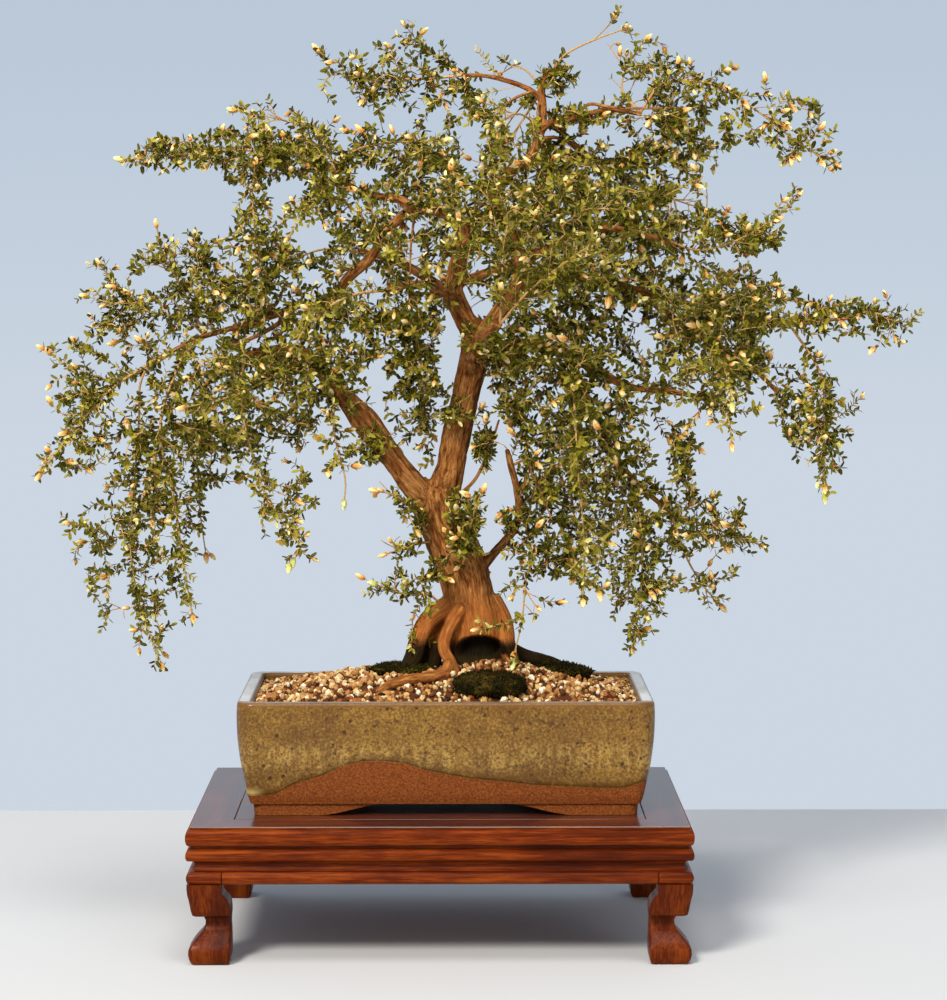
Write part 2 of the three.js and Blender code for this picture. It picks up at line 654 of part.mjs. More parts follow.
function inPot(solid) {
  return solid.intersect(potHollow(GAP)).translate([POT.centre[0], POT.centre[1], POT.base]);
}

function soilBlock(lift) {
  const top = (x, y) => POT.height - SOIL.belowRim + SOIL.mound * moundAt(x, y) + lift;
  return groundBlock(SOIL.columns, SOIL.rows, -5, top, 10);
}

function gravelBlock() {
  const top = (x, y, n) => {
    const pebble = GRAVEL.pebble * (2 * chance(n, 3) - 1);
    return POT.height - GRAVEL.belowRim + GRAVEL.mound * moundAt(x, y) + pebble;
  };
  return groundBlock(GRAVEL.columns, GRAVEL.rows, 60, top, 0);
}

// [across, down, depth], half sizes, unevenness
const LUMPS = {
  mossy_stone: { place: [490, 683, -78], size: [34, 20, 18], rough: 0.16, detail: 1, look: "moss" },
  moss_left: { place: [396, 671, -14], size: [32, 24, 9], rough: 0.2, detail: 1, look: "moss" },
  moss_right: { place: [553, 668, 6], size: [34, 24, 8], rough: 0.2, detail: 1, look: "moss" },
};

function lumpSolid(name, grow = 0) {
  const { place, size, rough, detail } = LUMPS[name];
  const ball = new THREE.IcosahedronGeometry(1, detail);
  ball.deleteAttribute("normal");
  ball.deleteAttribute("uv");
  const geometry = mergeVertices(ball, 1e-4);
  const position = geometry.getAttribute("position");
  const centre = seen(...place);
  for (let i = 0; i < position.count; i++) {
    const point = new THREE.Vector3().fromBufferAttribute(position, i);
    const bump = 1 + rough * (2 * chance(i, 11) - 1);
    const axes = size.map((half, k) => point.getComponent(k) * (half * bump + grow));
    position.setXYZ(i, ...new THREE.Vector3(...axes).add(centre).toArray());
  }
  return solidOf(geometry);
}

// Leafy twigs

// One leaf raised from the four-cornered facet a, b, c, d, as a flat pointed blade.
function leafOn(vertices, [a, b, c, d], tangent, faces) {
  const corners = [a, b, c, d].map((i) => vertices[i]);
  const middle = corners.reduce((sum, v) => sum.add(v), new THREE.Vector3()).multiplyScalar(0.25);
  const wide = corners[1].clone().sub(corners[0]).normalize();
  const outward = new THREE.Vector3().crossVectors(wide, tangent).normalize();
  const along = outward.addScaledVector(tangent, LEAF.lift).normalize();
  const waist = middle.clone().addScaledVector(along, LEAF.length * 0.45);
  const [left, right, tip] = [vertices.length, vertices.length + 1, vertices.length + 2];
  vertices.push(waist.clone().addScaledVector(wide, -LEAF.halfWidth));
  vertices.push(waist.clone().addScaledVector(wide, LEAF.halfWidth));
  vertices.push(middle.addScaledVector(along, LEAF.length));
  faces.push([a, b, tip], [b, right, tip], [b, c, right], [right, c, tip]);
  faces.push([c, d, tip], [d, left, tip], [d, a, left], [left, a, tip]);
}

function pointAt(route, distance) {
  let rest = distance;
  for (let i = 0; i + 1 < route.length; i++) {
    const length = route[i].distanceTo(route[i + 1]);
    if (rest <= length || i + 2 === route.length) return route[i].clone().lerp(route[i + 1], rest / length);
    rest -= length;
  }
  return route[0].clone();
}

function lengthOf(route) {
  return route.slice(1).reduce((sum, point, i) => sum + point.distanceTo(route[i]), 0);
}

// Where a twig along a route has its leaf seats, as distances, and its middle line, straight from seat to seat.
function twigLine(route, spacing, firstSeat) {
  const length = lengthOf(route) - BUD.length;
  const distances = [0];
  const seats = new Set();
  for (let s = firstSeat; s + LEAF.seat < length - 2; s += spacing) {
    seats.add(distances.length);
    distances.push(s, s + LEAF.seat);
  }
  distances.push(length, length + BUD.length * BUD.widest);
  const centres = distances.map((s) => pointAt(route, s));
  return { length, distances, seats, centres, tip: pointAt(route, length + BUD.length) };
}

// A twig with a leaf on every facet at each seat, that ends in a pointed bud.
function twigSolid({ length, distances, seats, centres, tip: end }, sides, radius, tipRadius) {
  const thickness = distances.map((s) => radius + ((tipRadius - radius) * s) / length);
  thickness[thickness.length - 1] = BUD.radius;
  const frames = framesAlong(centres);
  const vertices = centres.flatMap((centre, k) =>
    Array.from({ length: sides }, (_, j) => {
      const angle = (2 * Math.PI * j) / sides;
      return centre
        .clone()
        .addScaledVector(frames[k].side, thickness[k] * Math.cos(angle))
        .addScaledVector(frames[k].up, thickness[k] * Math.sin(angle));
    }),
  );
  const faces = [];
  for (let j = 1; j + 1 < sides; j++) faces.push([0, j + 1, j]);
  for (let k = 0; k + 1 < centres.length; k++) {
    const leafy = seats.has(k);
    for (let j = 0; j < sides; j++) {
      const next = (j + 1) % sides;
      const facet = [k * sides + j, k * sides + next, (k + 1) * sides + next, (k + 1) * sides + j];
      if (leafy) leafOn(vertices, facet, frames[k].tangent, faces);
      else faces.push([facet[0], facet[1], facet[2]], [facet[0], facet[2], facet[3]]);
    }
  }
  const last = (centres.length - 1) * sides;
  const tip = vertices.push(end) - 1;
  for (let j = 0; j < sides; j++) faces.push([last + j, last + ((j + 1) % sides), tip]);
  return solidOf(faceted(vertices, faces));
}

// The route of the n-th side twig of a stem: it leaves the middle line outward and rises a little.
function sideRoute(line, share, n, seed) {
  const length = lengthOf(line);
  const base = pointAt(line, share * length);
  const ahead = pointAt(line, Math.min(share * length + 8, length)).sub(base).normalize();
  const around = 2 * Math.PI * chance(n, seed + 1) + 2.4 * n;
  const out = new THREE.Vector3(Math.cos(around), Math.sin(around), 0.25);
  out.addScaledVector(ahead, 0.9 - out.dot(ahead)).normalize();
  const reach = TWIG.length * (0.8 + 0.5 * chance(n, seed + 2));
  const middle = base.clone().addScaledVector(out, reach * 0.5);
  const end = base.clone().addScaledVector(out, reach);
  end.z += TWIG.rise * reach;
  return [base, middle, end];
}

// The stems of a spray: the first starts in the wood, and the others fork from it beyond the bark.
function stemLines(stems) {
  const [main, ...others] = stems.map((points) => points.map((point) => seen(...point)));
  const mainLine = twigLine(main, STEM.seatSpacing, STEM.firstSeat);
  const fork = pointAt(mainLine.centres, STEM.fork);
  const forked = others.map((route) => twigLine([fork, ...route.slice(1)], STEM.seatSpacing, STEM.firstSeat));
  return [mainLine, ...forked];
}

function sprayParts(stems, seed) {
  const parts = [];
  stemLines(stems).forEach((line, s) => {
    parts.push(twigSolid(line, STEM.sides, STEM.radius, STEM.tipRadius));
    const count = Math.max(1, Math.round(line.length / TWIG.spacing));
    for (let n = 0; n < count; n++) {
      const share = TWIG.from + ((TWIG.to - TWIG.from) * (n + 0.5)) / count;
      const route = sideRoute(line.centres, share, n, seed + 17 * s);
      const side = twigLine(route, TWIG.seatSpacing, TWIG.firstSeat);
      parts.push(twigSolid(side, TWIG.sides, TWIG.radius, TWIG.tipRadius));
    }
  });
  return parts;
}

// A spray keeps its first stem, and of the rest what stays clear of its neighbours.
function spraySolid(stems, seed, taken, woodClear) {
  const [first, ...others] = sprayParts(stems, seed);
  let whole = first;
  for (const part of others) {
    if (!taken.some((other) => touches(part, other))) whole = whole.add(part);
  }
  return largest(whole.subtract(woodClear));
}

// Assembly

function named(name, solid, look) {
  const mesh = new THREE.Mesh(geometryOf(solid), material(look));
  mesh.name = name;
  return mesh;
}

function tree() {
  const wood = woodSolid();
  const woodClear = woodSolid(GAP);
  const group = new THREE.Group();
  group.add(named("trunk_and_branches", wood, "bark"));

  const lumps = Object.keys(LUMPS);
  const clearOfLumps = joined(lumps.map((name) => lumpSolid(name, GAP)));
  const soilClear = inPot(soilBlock(GAP));
  for (const name of lumps) {
    const lump = lumpSolid(name).subtract(woodClear).subtract(soilClear);
    group.add(named(name, largest(lump).simplify(0.05), LUMPS[name].look));
  }
  const soil = inPot(soilBlock(0)).subtract(woodClear).subtract(drainClearance());
  group.add(named("soil", largest(soil).simplify(0.05), "soil"));
  const layer = inPot(gravelBlock().subtract(soilBlock(GAP)));
  const gravel = largest(layer.subtract(woodClear).subtract(clearOfLumps)).simplify(0.05);
  group.add(named("gravel", gravel, "gravel"));

  const taken = [gravel, clearOfLumps];
  Object.entries(SPRAYS).forEach(([name, stems], i) => {
    const spray = spraySolid(stems, 31 * i, taken, woodClear);
    taken.push(spray);
    group.add(named("spray_" + name, spray, "leaf"));
  });
  return group;
}

function drainClearance() {
  const { size, thickness } = DRAIN_MESH;
  const height = thickness + 2 * GAP;
  const z = POT.base + POT.floorTop + height / 2;
  const sides = [-1, 1].map((side) => POT.centre[0] + (side * POT.drainSpacing) / 2);
  return joined(sides.map((x) => boxSolid(x, POT.centre[1], z, size + 2 * GAP, size + 2 * GAP, height)));
}

const bonsai = new THREE.Group();
bonsai.add(tree(), potMesh(), drainMesh(-1), drainMesh(1));
bonsai.add(standPanel(), standFrame(), ...standLegs(), ...standAprons());

// The origin goes below the middle of everything.
const extent = new THREE.Box3().setFromObject(bonsai);
const middle = extent.getCenter(new THREE.Vector3());
bonsai.position.set(-middle.x, -middle.y, 0);

const part = new THREE.Group();
part.add(bonsai);

export default part;
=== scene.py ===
"""Woolly tea tree trained as a bonsai, in a part-glazed stoneware pot on a lacquered wooden stand.

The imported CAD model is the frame. The wood, the leafy sprays, the pot, the gravel, the moss and the stand get
finer pieces on their nodes, and the soil and the drain meshes keep theirs. The front of the tree faces -Y.
Lengths are in metres, and where a route or a size is given in millimetres its comment says so.
"""

import itertools
import logging
import math
from collections.abc import Iterable, Sequence
from dataclasses import dataclass, field
from enum import Enum
from typing import Any

import bpy
import numpy as np
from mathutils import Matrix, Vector


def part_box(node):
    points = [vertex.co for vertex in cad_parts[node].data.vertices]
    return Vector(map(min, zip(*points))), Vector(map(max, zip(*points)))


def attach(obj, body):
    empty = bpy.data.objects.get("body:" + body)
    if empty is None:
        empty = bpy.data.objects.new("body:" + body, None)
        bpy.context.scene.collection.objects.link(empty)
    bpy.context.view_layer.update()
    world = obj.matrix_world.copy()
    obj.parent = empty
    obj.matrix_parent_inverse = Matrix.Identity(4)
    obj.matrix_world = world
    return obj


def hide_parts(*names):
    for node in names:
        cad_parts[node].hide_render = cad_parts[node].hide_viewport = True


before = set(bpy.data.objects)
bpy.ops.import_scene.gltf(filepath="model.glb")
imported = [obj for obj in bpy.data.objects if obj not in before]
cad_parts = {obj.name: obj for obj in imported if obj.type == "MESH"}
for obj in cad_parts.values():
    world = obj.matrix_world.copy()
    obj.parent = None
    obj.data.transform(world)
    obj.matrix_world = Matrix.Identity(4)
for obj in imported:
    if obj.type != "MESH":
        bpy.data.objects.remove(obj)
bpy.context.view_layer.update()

log = logging.getLogger("bonsai")

MM = 0.001
TURN = 2 * math.pi
BODY = "root"

Place = tuple[float, float, float]
Colour = tuple[int, int, int]
Route = list[tuple[float, ...]]


# Sight line


@dataclass(frozen=True)
class Sight:
    """The camera's place. Routes are given as seen from it: across and down its picture, and depth."""

    width: int = 947
    height: int = 1000
    focal: float = 3100.0  # pixels
    eye: Place = (9.0, -2790.0, 600.5)  # millimetres from the middle of the stand
    down: float = 4.33  # degrees
    right: float = 0.43
    sensor: float = 36.0  # millimetres

    @property
    def origin(self) -> np.ndarray:
        """The middle of the stand on the table, in the frame."""
        low, high = (np.array(corner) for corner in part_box("stand_panel"))
        return np.array([(low[0] + high[0]) / 2, (low[1] + high[1]) / 2, 0.0])

    def seen(self, across: float, down: float, depth: float) -> np.ndarray:
        """Finds the place that is seen at a point of the picture.

        Args:
            across: pixels from the picture's left edge.
            down: pixels from its top edge.
            depth: millimetres behind the trunk.

        Returns:
            The place in the frame.
        """
        tilt, pan = math.radians(self.down), math.radians(self.right)
        r = (across - self.width / 2) / self.focal
        w = (self.height / 2 - down) / self.focal
        forward = math.cos(tilt) + w * math.sin(tilt)
        ray = np.array([
            r * math.cos(pan) + forward * math.sin(pan),
            forward * math.cos(pan) - r * math.sin(pan),
            w * math.cos(tilt) - math.sin(tilt),
        ])
        eye = np.array(self.eye)
        return self.origin + MM * (eye + ray * (depth - eye[1]) / ray[1])

    def picture(self, places: np.ndarray) -> np.ndarray:
        """Finds where places are seen.

        Args:
            places: one place of the frame in each row.

        Returns:
            Across, down and depth of each, as seen() takes them.
        """
        tilt, pan = math.radians(self.down), math.radians(self.right)
        local = (np.atleast_2d(places) - self.origin) / MM
        away = local - np.array(self.eye)
        forward = np.array([math.sin(pan) * math.cos(tilt), math.cos(pan) * math.cos(tilt), -math.sin(tilt)])
        rightward = np.array([math.cos(pan), -math.sin(pan), 0.0])
        upward = np.cross(rightward, forward)
        ahead = away @ forward
        across = self.width / 2 + self.focal * (away @ rightward) / ahead
        down = self.height / 2 - self.focal * (away @ upward) / ahead
        return np.column_stack([across, down, local[:, 1]])


SIGHT = Sight()


# Shader and geometry nodes


class Wire:
    """A node's output that the usual operators work on, each of which adds a Math node."""

    def __init__(self, sheet: "Sheet", socket: bpy.types.NodeSocket) -> None:
        """Keeps the output and the sheet it belongs to."""
        self.sheet = sheet
        self.socket = socket

    def math(self, operation: str, *values: "Wire | float") -> "Wire":
        """Adds a Math node on these values."""
        return self.sheet.node("ShaderNodeMath", {"operation": operation}, dict(enumerate(values)))

    def __add__(self, other: "Wire | float") -> "Wire":
        """Adds."""
        return self.math("ADD", self, other)

    __radd__ = __add__

    def __mul__(self, other: "Wire | float") -> "Wire":
        """Multiplies."""
        return self.math("MULTIPLY", self, other)

    __rmul__ = __mul__

    def __sub__(self, other: "Wire | float") -> "Wire":
        """Takes other away."""
        return self.math("SUBTRACT", self, other)

    def __rsub__(self, other: float) -> "Wire":
        """Takes this away from other."""
        return self.math("SUBTRACT", other, self)

    def __pow__(self, other: float) -> "Wire":
        """Raises to a power."""
        return self.math("POWER", self, other)

    def __neg__(self) -> "Wire":
        """Turns the sign."""
        return self.math("MULTIPLY", self, -1.0)

    def __abs__(self) -> "Wire":
        """The size without the sign."""
        return self.math("ABSOLUTE", self)

    def sine(self) -> "Wire":
        """The sine of an angle."""
        return self.math("SINE", self)

    def angle(self, across: "Wire") -> "Wire":
        """The angle whose tangent is this over across."""
        return self.math("ARCTAN2", self, across)

    def above(self, other: float) -> "Wire":
        """1 where this is above other, and 0 elsewhere."""
        return self.math("GREATER_THAN", self, other)

    def near(self, other: float) -> "Wire":
        """1 where this is other, and 0 elsewhere."""
        return self.math("COMPARE", self, other, 0.25)

    def step(self, low: float, high: float) -> "Wire":
        """Goes smoothly from 0 at low to 1 at high."""
        values = {"Value": self, "From Min": low, "From Max": high}
        return self.sheet.node("ShaderNodeMapRange", {"interpolation_type": "SMOOTHSTEP"}, values)


class Sheet:
    """A node tree that is being built."""

    def __init__(self, tree: bpy.types.NodeTree) -> None:
        """Keeps the tree."""
        self.tree = tree

    @classmethod
    def for_material(cls, name: str) -> "Sheet":
        """Starts a material and gives the empty sheet of its nodes."""
        material = bpy.data.materials.new(name)
        material.use_nodes = True
        material.node_tree.nodes.clear()
        sheet = cls(material.node_tree)
        sheet.material = material
        return sheet

    def node(
        self,
        kind: str,
        settings: dict[str, Any] | None = None,
        values: dict[Any, Any] | None = None,
        output: str | int = 0,
    ) -> Wire:
        """Adds a node.

        Args:
            kind: the node's type.
            settings: its own settings, a ramp's stops among them, which are set first.
            values: numbers, colours or wires for its sockets, by name or place.
            output: the name or place of the output that is wanted.

        Returns:
            That output.
        """
        made = self.tree.nodes.new(kind)
        for name, value in (settings or {}).items():
            if name == "stops":
                self._stops(made.color_ramp, value)
            else:
                setattr(made, name, value)
        for key, value in (values or {}).items():
            socket = made.inputs[key] if isinstance(key, int) else self._named(made.inputs, key)
            if isinstance(value, Wire):
                self.tree.links.new(value.socket, socket)
            else:
                socket.default_value = value
        if isinstance(output, str):
            return Wire(self, self._named(made.outputs, output))
        found = [s for s in made.outputs if s.enabled]
        return Wire(self, found[output] if found else None)

    @staticmethod
    def _named(sockets: Iterable[bpy.types.NodeSocket], name: str) -> bpy.types.NodeSocket:
        """The socket of that name that is in use."""
        return next(s for s in sockets if s.name == name and s.enabled)

    @staticmethod
    def _stops(ramp: bpy.types.ColorRamp, stops: Sequence[tuple[float, tuple[float, ...]]]) -> None:
        """Sets a ramp's stops."""
        while len(ramp.elements) < len(stops):
            ramp.elements.new(0.5)
        for element, (place, colour) in zip(ramp.elements, stops):
            element.position = place
            element.color = colour

    def attribute(self, name: str, output: str = "Fac") -> Wire:
        """Reads an attribute of the piece."""
        return self.node("ShaderNodeAttribute", {"attribute_name": name}, output=output)

    def spot(self) -> Wire:
        """The place on the piece, in metres."""
        return self.node("ShaderNodeTexCoord", output="Object")

    def stretched(self, vector: Wire, scale: Place) -> Wire:
        """Scales a vector along its three axes."""
        return self.node("ShaderNodeVectorMath", {"operation": "MULTIPLY"}, {0: vector, 1: scale})

    def vector(self, x: Wire | float, y: Wire | float, z: Wire | float) -> Wire:
        """Joins three values."""
        return self.node("ShaderNodeCombineXYZ", {}, {"X": x, "Y": y, "Z": z})

    def parts(self, vector: Wire) -> list[Wire]:
        """The three values of a vector."""
        split = self.node("ShaderNodeSeparateXYZ", {}, {0: vector})
        return [Wire(self, socket) for socket in split.socket.node.outputs]

    def noise(self, vector: Wire, scale: float, detail: float = 3.0, roughness: float = 0.55) -> Wire:
        """A noise pattern from 0 to 1."""
        values = {"Vector": vector, "Scale": scale, "Detail": detail, "Roughness": roughness}
        return self.node("ShaderNodeTexNoise", {}, values)

    def cells(self, vector: Wire, scale: float) -> Wire:
        """The distance from the nearest middle of a pattern of cells."""
        return self.node("ShaderNodeTexVoronoi", {}, {"Vector": vector, "Scale": scale}, "Distance")

    def ramp(self, value: Wire, *stops: tuple[float, Colour]) -> Wire:
        """Turns a value into a colour by its stops, each a place and a colour out of 255."""
        return self.node("ShaderNodeValToRGB", {"stops": [(p, paint(c)) for p, c in stops]}, {0: value})

    def mix(self, share: Wire | float, first: Wire | Colour, second: Wire | Colour) -> Wire:
        """Mixes two colours, each a wire or a colour out of 255."""
        first, second = (c if isinstance(c, Wire) else paint(c) for c in (first, second))
        values = {"Factor": share, "A": first, "B": second}
        return self.node("ShaderNodeMix", {"data_type": "RGBA"}, values, "Result")

    def bump(self, height: Wire, distance: float, strength: float = 1.0) -> Wire:
        """A surface bumped by a height from 0 to 1 times the distance."""
        values = {"Height": height, "Distance": distance, "Strength": strength}
        return self.node("ShaderNodeBump", {}, values, "Normal")

    def surface(self, **values: Any) -> bpy.types.Material:
        """Ends the material in a Principled shader.

        Args:
            values: its inputs, with _ for the spaces of their names.

        Returns:
            The material.
        """
        named = {key.replace("_", " "): value for key, value in values.items()}
        shader = self.node("ShaderNodeBsdfPrincipled", {}, named)
        self.node("ShaderNodeOutputMaterial", {}, {"Surface": shader})
        return self.material


def paint(colour: Colour) -> tuple[float, float, float, float]:
    """A colour out of 255 as linear red, green, blue and alpha."""
    shares = [c / 255 for c in colour]
    linear = [s / 12.92 if s <= 0.04045 else ((s + 0.055) / 1.055) ** 2.4 for s in shares]
    return (*linear, 1.0)


class Grower(Sheet):
    """A Geometry Nodes tree with named inputs."""

    def __init__(self, name: str) -> None:
        """Starts the tree, with a mesh in and a mesh out."""
        super().__init__(bpy.data.node_groups.new(name, "GeometryNodeTree"))
        self.tree.interface.new_socket(name="Mesh", in_out="OUTPUT", socket_type="NodeSocketGeometry")
        self.tree.interface.new_socket(name="Mesh", in_out="INPUT", socket_type="NodeSocketGeometry")
        self.entry = self.tree.nodes.new("NodeGroupInput")
        self.exit = self.tree.nodes.new("NodeGroupOutput")
        self.given: dict[str, Any] = {}

    @property
    def mesh(self) -> Wire:
        """The mesh that comes in."""
        return Wire(self, self.entry.outputs[0])

    def size(self, name: str, value: float | int | bpy.types.Material) -> Wire:
        """Adds a named input and remembers its value.

        Args:
            name: the input's name.
            value: a length or share, a whole number, or a material.

        Returns:
            The input as a wire.
        """
        kinds = {float: "NodeSocketFloat", int: "NodeSocketInt"}
        kind = kinds.get(type(value), "NodeSocketMaterial")
        item = self.tree.interface.new_socket(name=name, in_out="INPUT", socket_type=kind)
        self.given[item.identifier] = value
        return Wire(self, next(s for s in self.entry.outputs if s.identifier == item.identifier))

    def named(self, name: str, kind: str = "FLOAT") -> Wire:
        """Reads a named attribute."""
        return self.node("GeometryNodeInputNamedAttribute", {"data_type": kind}, {"Name": name}, "Attribute")

    def stored(self, mesh: Wire, name: str, value: Wire, kind: str = "FLOAT_VECTOR") -> Wire:
        """Stores a value on the mesh's points."""
        values = {"Geometry": mesh, "Name": name, "Value": value}
        return self.node("GeometryNodeStoreNamedAttribute", {"data_type": kind, "domain": "POINT"}, values)

    def moved(self, mesh: Wire, position: Wire) -> Wire:
        """Puts the mesh's points at new places."""
        return self.node("GeometryNodeSetPosition", {}, {"Geometry": mesh, "Position": position})

    def dressed(self, mesh: Wire, finish: Wire) -> Wire:
        """Gives the mesh a material."""
        return self.node("GeometryNodeSetMaterial", {}, {"Geometry": mesh, "Material": finish})

    def strewn(self, mesh: Wire, density: Wire, seed: Wire) -> Wire:
        """Strews points over a mesh."""
        settings = {"distribute_method": "RANDOM"}
        values = {"Mesh": mesh, "Density": density, "Seed": seed}
        return self.node("GeometryNodeDistributePointsOnFaces", settings, values, "Points")

    def chance(self, seed: int) -> Wire:
        """A random value from 0 to 1 for each point."""
        return self.node("FunctionNodeRandomValue", {"data_type": "FLOAT"}, {"Seed": seed}, "Value")

    def instances(self, points: Wire, shape: Wire, **values: Wire) -> Wire:
        """Puts a shape on points, with values for the node's other inputs."""
        return self.node("GeometryNodeInstanceOnPoints", {}, {"Points": points, "Instance": shape, **values})

    def realized(self, *meshes: Wire) -> Wire:
        """Joins meshes and makes their instances real."""
        return self.node("GeometryNodeRealizeInstances", {}, {"Geometry": self.joined(*meshes)})

    def joined(self, *meshes: Wire) -> Wire:
        """Joins meshes."""
        made = self.tree.nodes.new("GeometryNodeJoinGeometry")
        for mesh in reversed(meshes):
            self.tree.links.new(mesh.socket, made.inputs[0])
        return Wire(self, made.outputs[0])

    def finish(self, mesh: Wire) -> None:
        """Leads the mesh out of the tree."""
        self.tree.links.new(mesh.socket, self.exit.inputs[0])

    def grow(self, piece: bpy.types.Object) -> None:
        """Runs the tree on a piece and keeps the result as its plain mesh."""
        modifier = piece.modifiers.new("grow", "NODES")
        modifier.node_group = self.tree
        for identifier, value in self.given.items():
            modifier[identifier] = value
        settle(piece)


# Meshes


def settle(piece: bpy.types.Object) -> None:
    """Turns a piece's modifiers into its own mesh."""
    bpy.context.view_layer.update()
    depsgraph = bpy.context.evaluated_depsgraph_get()
    mesh = bpy.data.meshes.new_from_object(piece.evaluated_get(depsgraph), depsgraph=depsgraph)
    piece.modifiers.clear()
    piece.data = mesh


def piece_from(
    name: str,
    points: np.ndarray,
    faces: Sequence[Sequence[int]],
    smooth: bool = True,
    **attributes: np.ndarray,
) -> bpy.types.Object:
    """Makes a piece of points and faces.

    Args:
        name: the piece's name.
        points: one place in each row.
        faces: the points of each face, anticlockwise from outside.
        smooth: whether it is shaded smoothly.
        attributes: values or vectors for the points, by name.

    Returns:
        The piece, linked to the scene.
    """
    mesh = bpy.data.meshes.new(name)
    mesh.from_pydata(points.tolist(), [], faces)
    if smooth:
        mesh.shade_smooth()
    give(mesh, **attributes)
    piece = bpy.data.objects.new(name, mesh)
    bpy.context.scene.collection.objects.link(piece)
    return piece


def join_into(piece: bpy.types.Object, other: bpy.types.Object) -> None:
    """Joins another piece into a piece."""
    bpy.ops.object.select_all(action="DESELECT")
    for each in (other, piece):
        each.select_set(True)
    bpy.context.view_layer.objects.active = piece
    bpy.ops.object.join()


def give(mesh: bpy.types.Mesh, **attributes: np.ndarray) -> None:
    """Stores values or vectors on a mesh's points, by name."""
    for name, values in attributes.items():
        values = np.asarray(values, np.float32)
        vector = values.ndim == 2
        made = mesh.attributes.new(name, "FLOAT_VECTOR" if vector else "FLOAT", "POINT")
        made.data.foreach_set("vector" if vector else "value", values.ravel())


def points_of(mesh: bpy.types.Mesh) -> np.ndarray:
    """A mesh's points, one in each row."""
    flat = np.empty(3 * len(mesh.vertices), np.float32)
    mesh.vertices.foreach_get("co", flat)
    return flat.reshape(-1, 3).astype(float)


def normals_of(mesh: bpy.types.Mesh) -> np.ndarray:
    """The outward direction at each of a mesh's points."""
    flat = np.empty(3 * len(mesh.vertices), np.float32)
    mesh.vertex_normals.foreach_get("vector", flat)
    return flat.reshape(-1, 3).astype(float)


def place(mesh: bpy.types.Mesh, points: np.ndarray) -> None:
    """Moves a mesh's points."""
    mesh.vertices.foreach_set("co", points.astype(np.float32).ravel())
    mesh.update()


def hand_over(piece: bpy.types.Object, slot: str, *nodes: str) -> None:
    """Rides a finished piece on the body, in place of CAD nodes, and reports it."""
    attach(piece, BODY)
    if nodes:
        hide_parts(*nodes)
    piece.data.calc_loop_triangles()
    log.info("%s: %d triangles", piece.name, len(piece.data.loop_triangles))


class Shell:
    """Points and faces that are gathered for one piece."""

    def __init__(self) -> None:
        """Starts empty."""
        self.points: list[np.ndarray] = []
        self.faces: list[tuple[int, ...]] = []
        self.count = 0

    def add(self, points: np.ndarray, faces: Iterable[Sequence[int]]) -> None:
        """Adds points and the faces between them."""
        self.faces.extend(tuple(i + self.count for i in face) for face in faces)
        self.points.append(points)
        self.count += len(points)

    def tube(self, route: np.ndarray, radii: np.ndarray, sides: int, wave: np.ndarray | None = None) -> None:
        """Adds a closed tube.

        Args:
            route: its middle line, one place in each row.
            radii: its radius at each place.
            sides: corners of its section.
            wave: shares by which the radius grows, for each place and corner.
        """
        _, side, up = frames_along(route)
        angles = TURN * np.arange(sides) / sides
        reach = radii[:, None] * (np.ones((len(route), sides)) if wave is None else wave)
        rings = route[:, None, :] + (reach * np.cos(angles))[..., None] * side[:, None, :]
        rings = rings + (reach * np.sin(angles))[..., None] * up[:, None, :]
        self.stack(rings)

    def stack(self, rings: np.ndarray) -> None:
        """Adds rings of points, joined one to the next and closed at both ends."""
        levels, sides, _ = rings.shape
        faces = band(sides, [(k, k + 1) for k in range(levels - 1)])
        faces.append(tuple(range(sides - 1, -1, -1)))
        faces.append(tuple(range((levels - 1) * sides, levels * sides)))
        self.add(rings.reshape(-1, 3), faces)

    def all_points(self) -> np.ndarray:
        """Every point, one in each row."""
        return np.vstack(self.points)


def band(sides: int, pairs: Sequence[tuple[int, int]]) -> list[tuple[int, ...]]:
    """The faces between pairs of rings of points that are numbered ring by ring."""
    return [
        (low * sides + j, low * sides + (j + 1) % sides, high * sides + (j + 1) % sides, high * sides + j)
        for low, high in pairs
        for j in range(sides)
    ]


def unit(vector: np.ndarray) -> np.ndarray:
    """A vector's direction."""
    return vector / np.linalg.norm(vector)


def circle(count: int) -> np.ndarray:
    """Places round a circle of radius 1, across and up."""
    angles = TURN * np.arange(count) / count
    return np.column_stack([np.cos(angles), np.sin(angles)])


def frames_along(route: np.ndarray) -> tuple[np.ndarray, np.ndarray, np.ndarray]:
    """Finds the direction of a route and two directions across it that don't twist.

    Args:
        route: one place in each row.

    Returns:
        The tangents, the sides and the ups, one in each row.
    """
    step = np.vstack([route[1:2] - route[0:1], route[2:] - route[:-2], route[-1:] - route[-2:-1]])
    tangents = step / np.linalg.norm(step, axis=1, keepdims=True)
    side = np.cross(tangents[0], (0.0, -1.0, 0.0))
    if np.linalg.norm(side) < 0.05:
        side = np.cross(tangents[0], (1.0, 0.0, 0.0))
    sides = []
    for tangent in tangents:
        side = unit(side - tangent * (side @ tangent))
        sides.append(side)
    sides = np.array(sides)
    return tangents, sides, np.cross(tangents, sides)


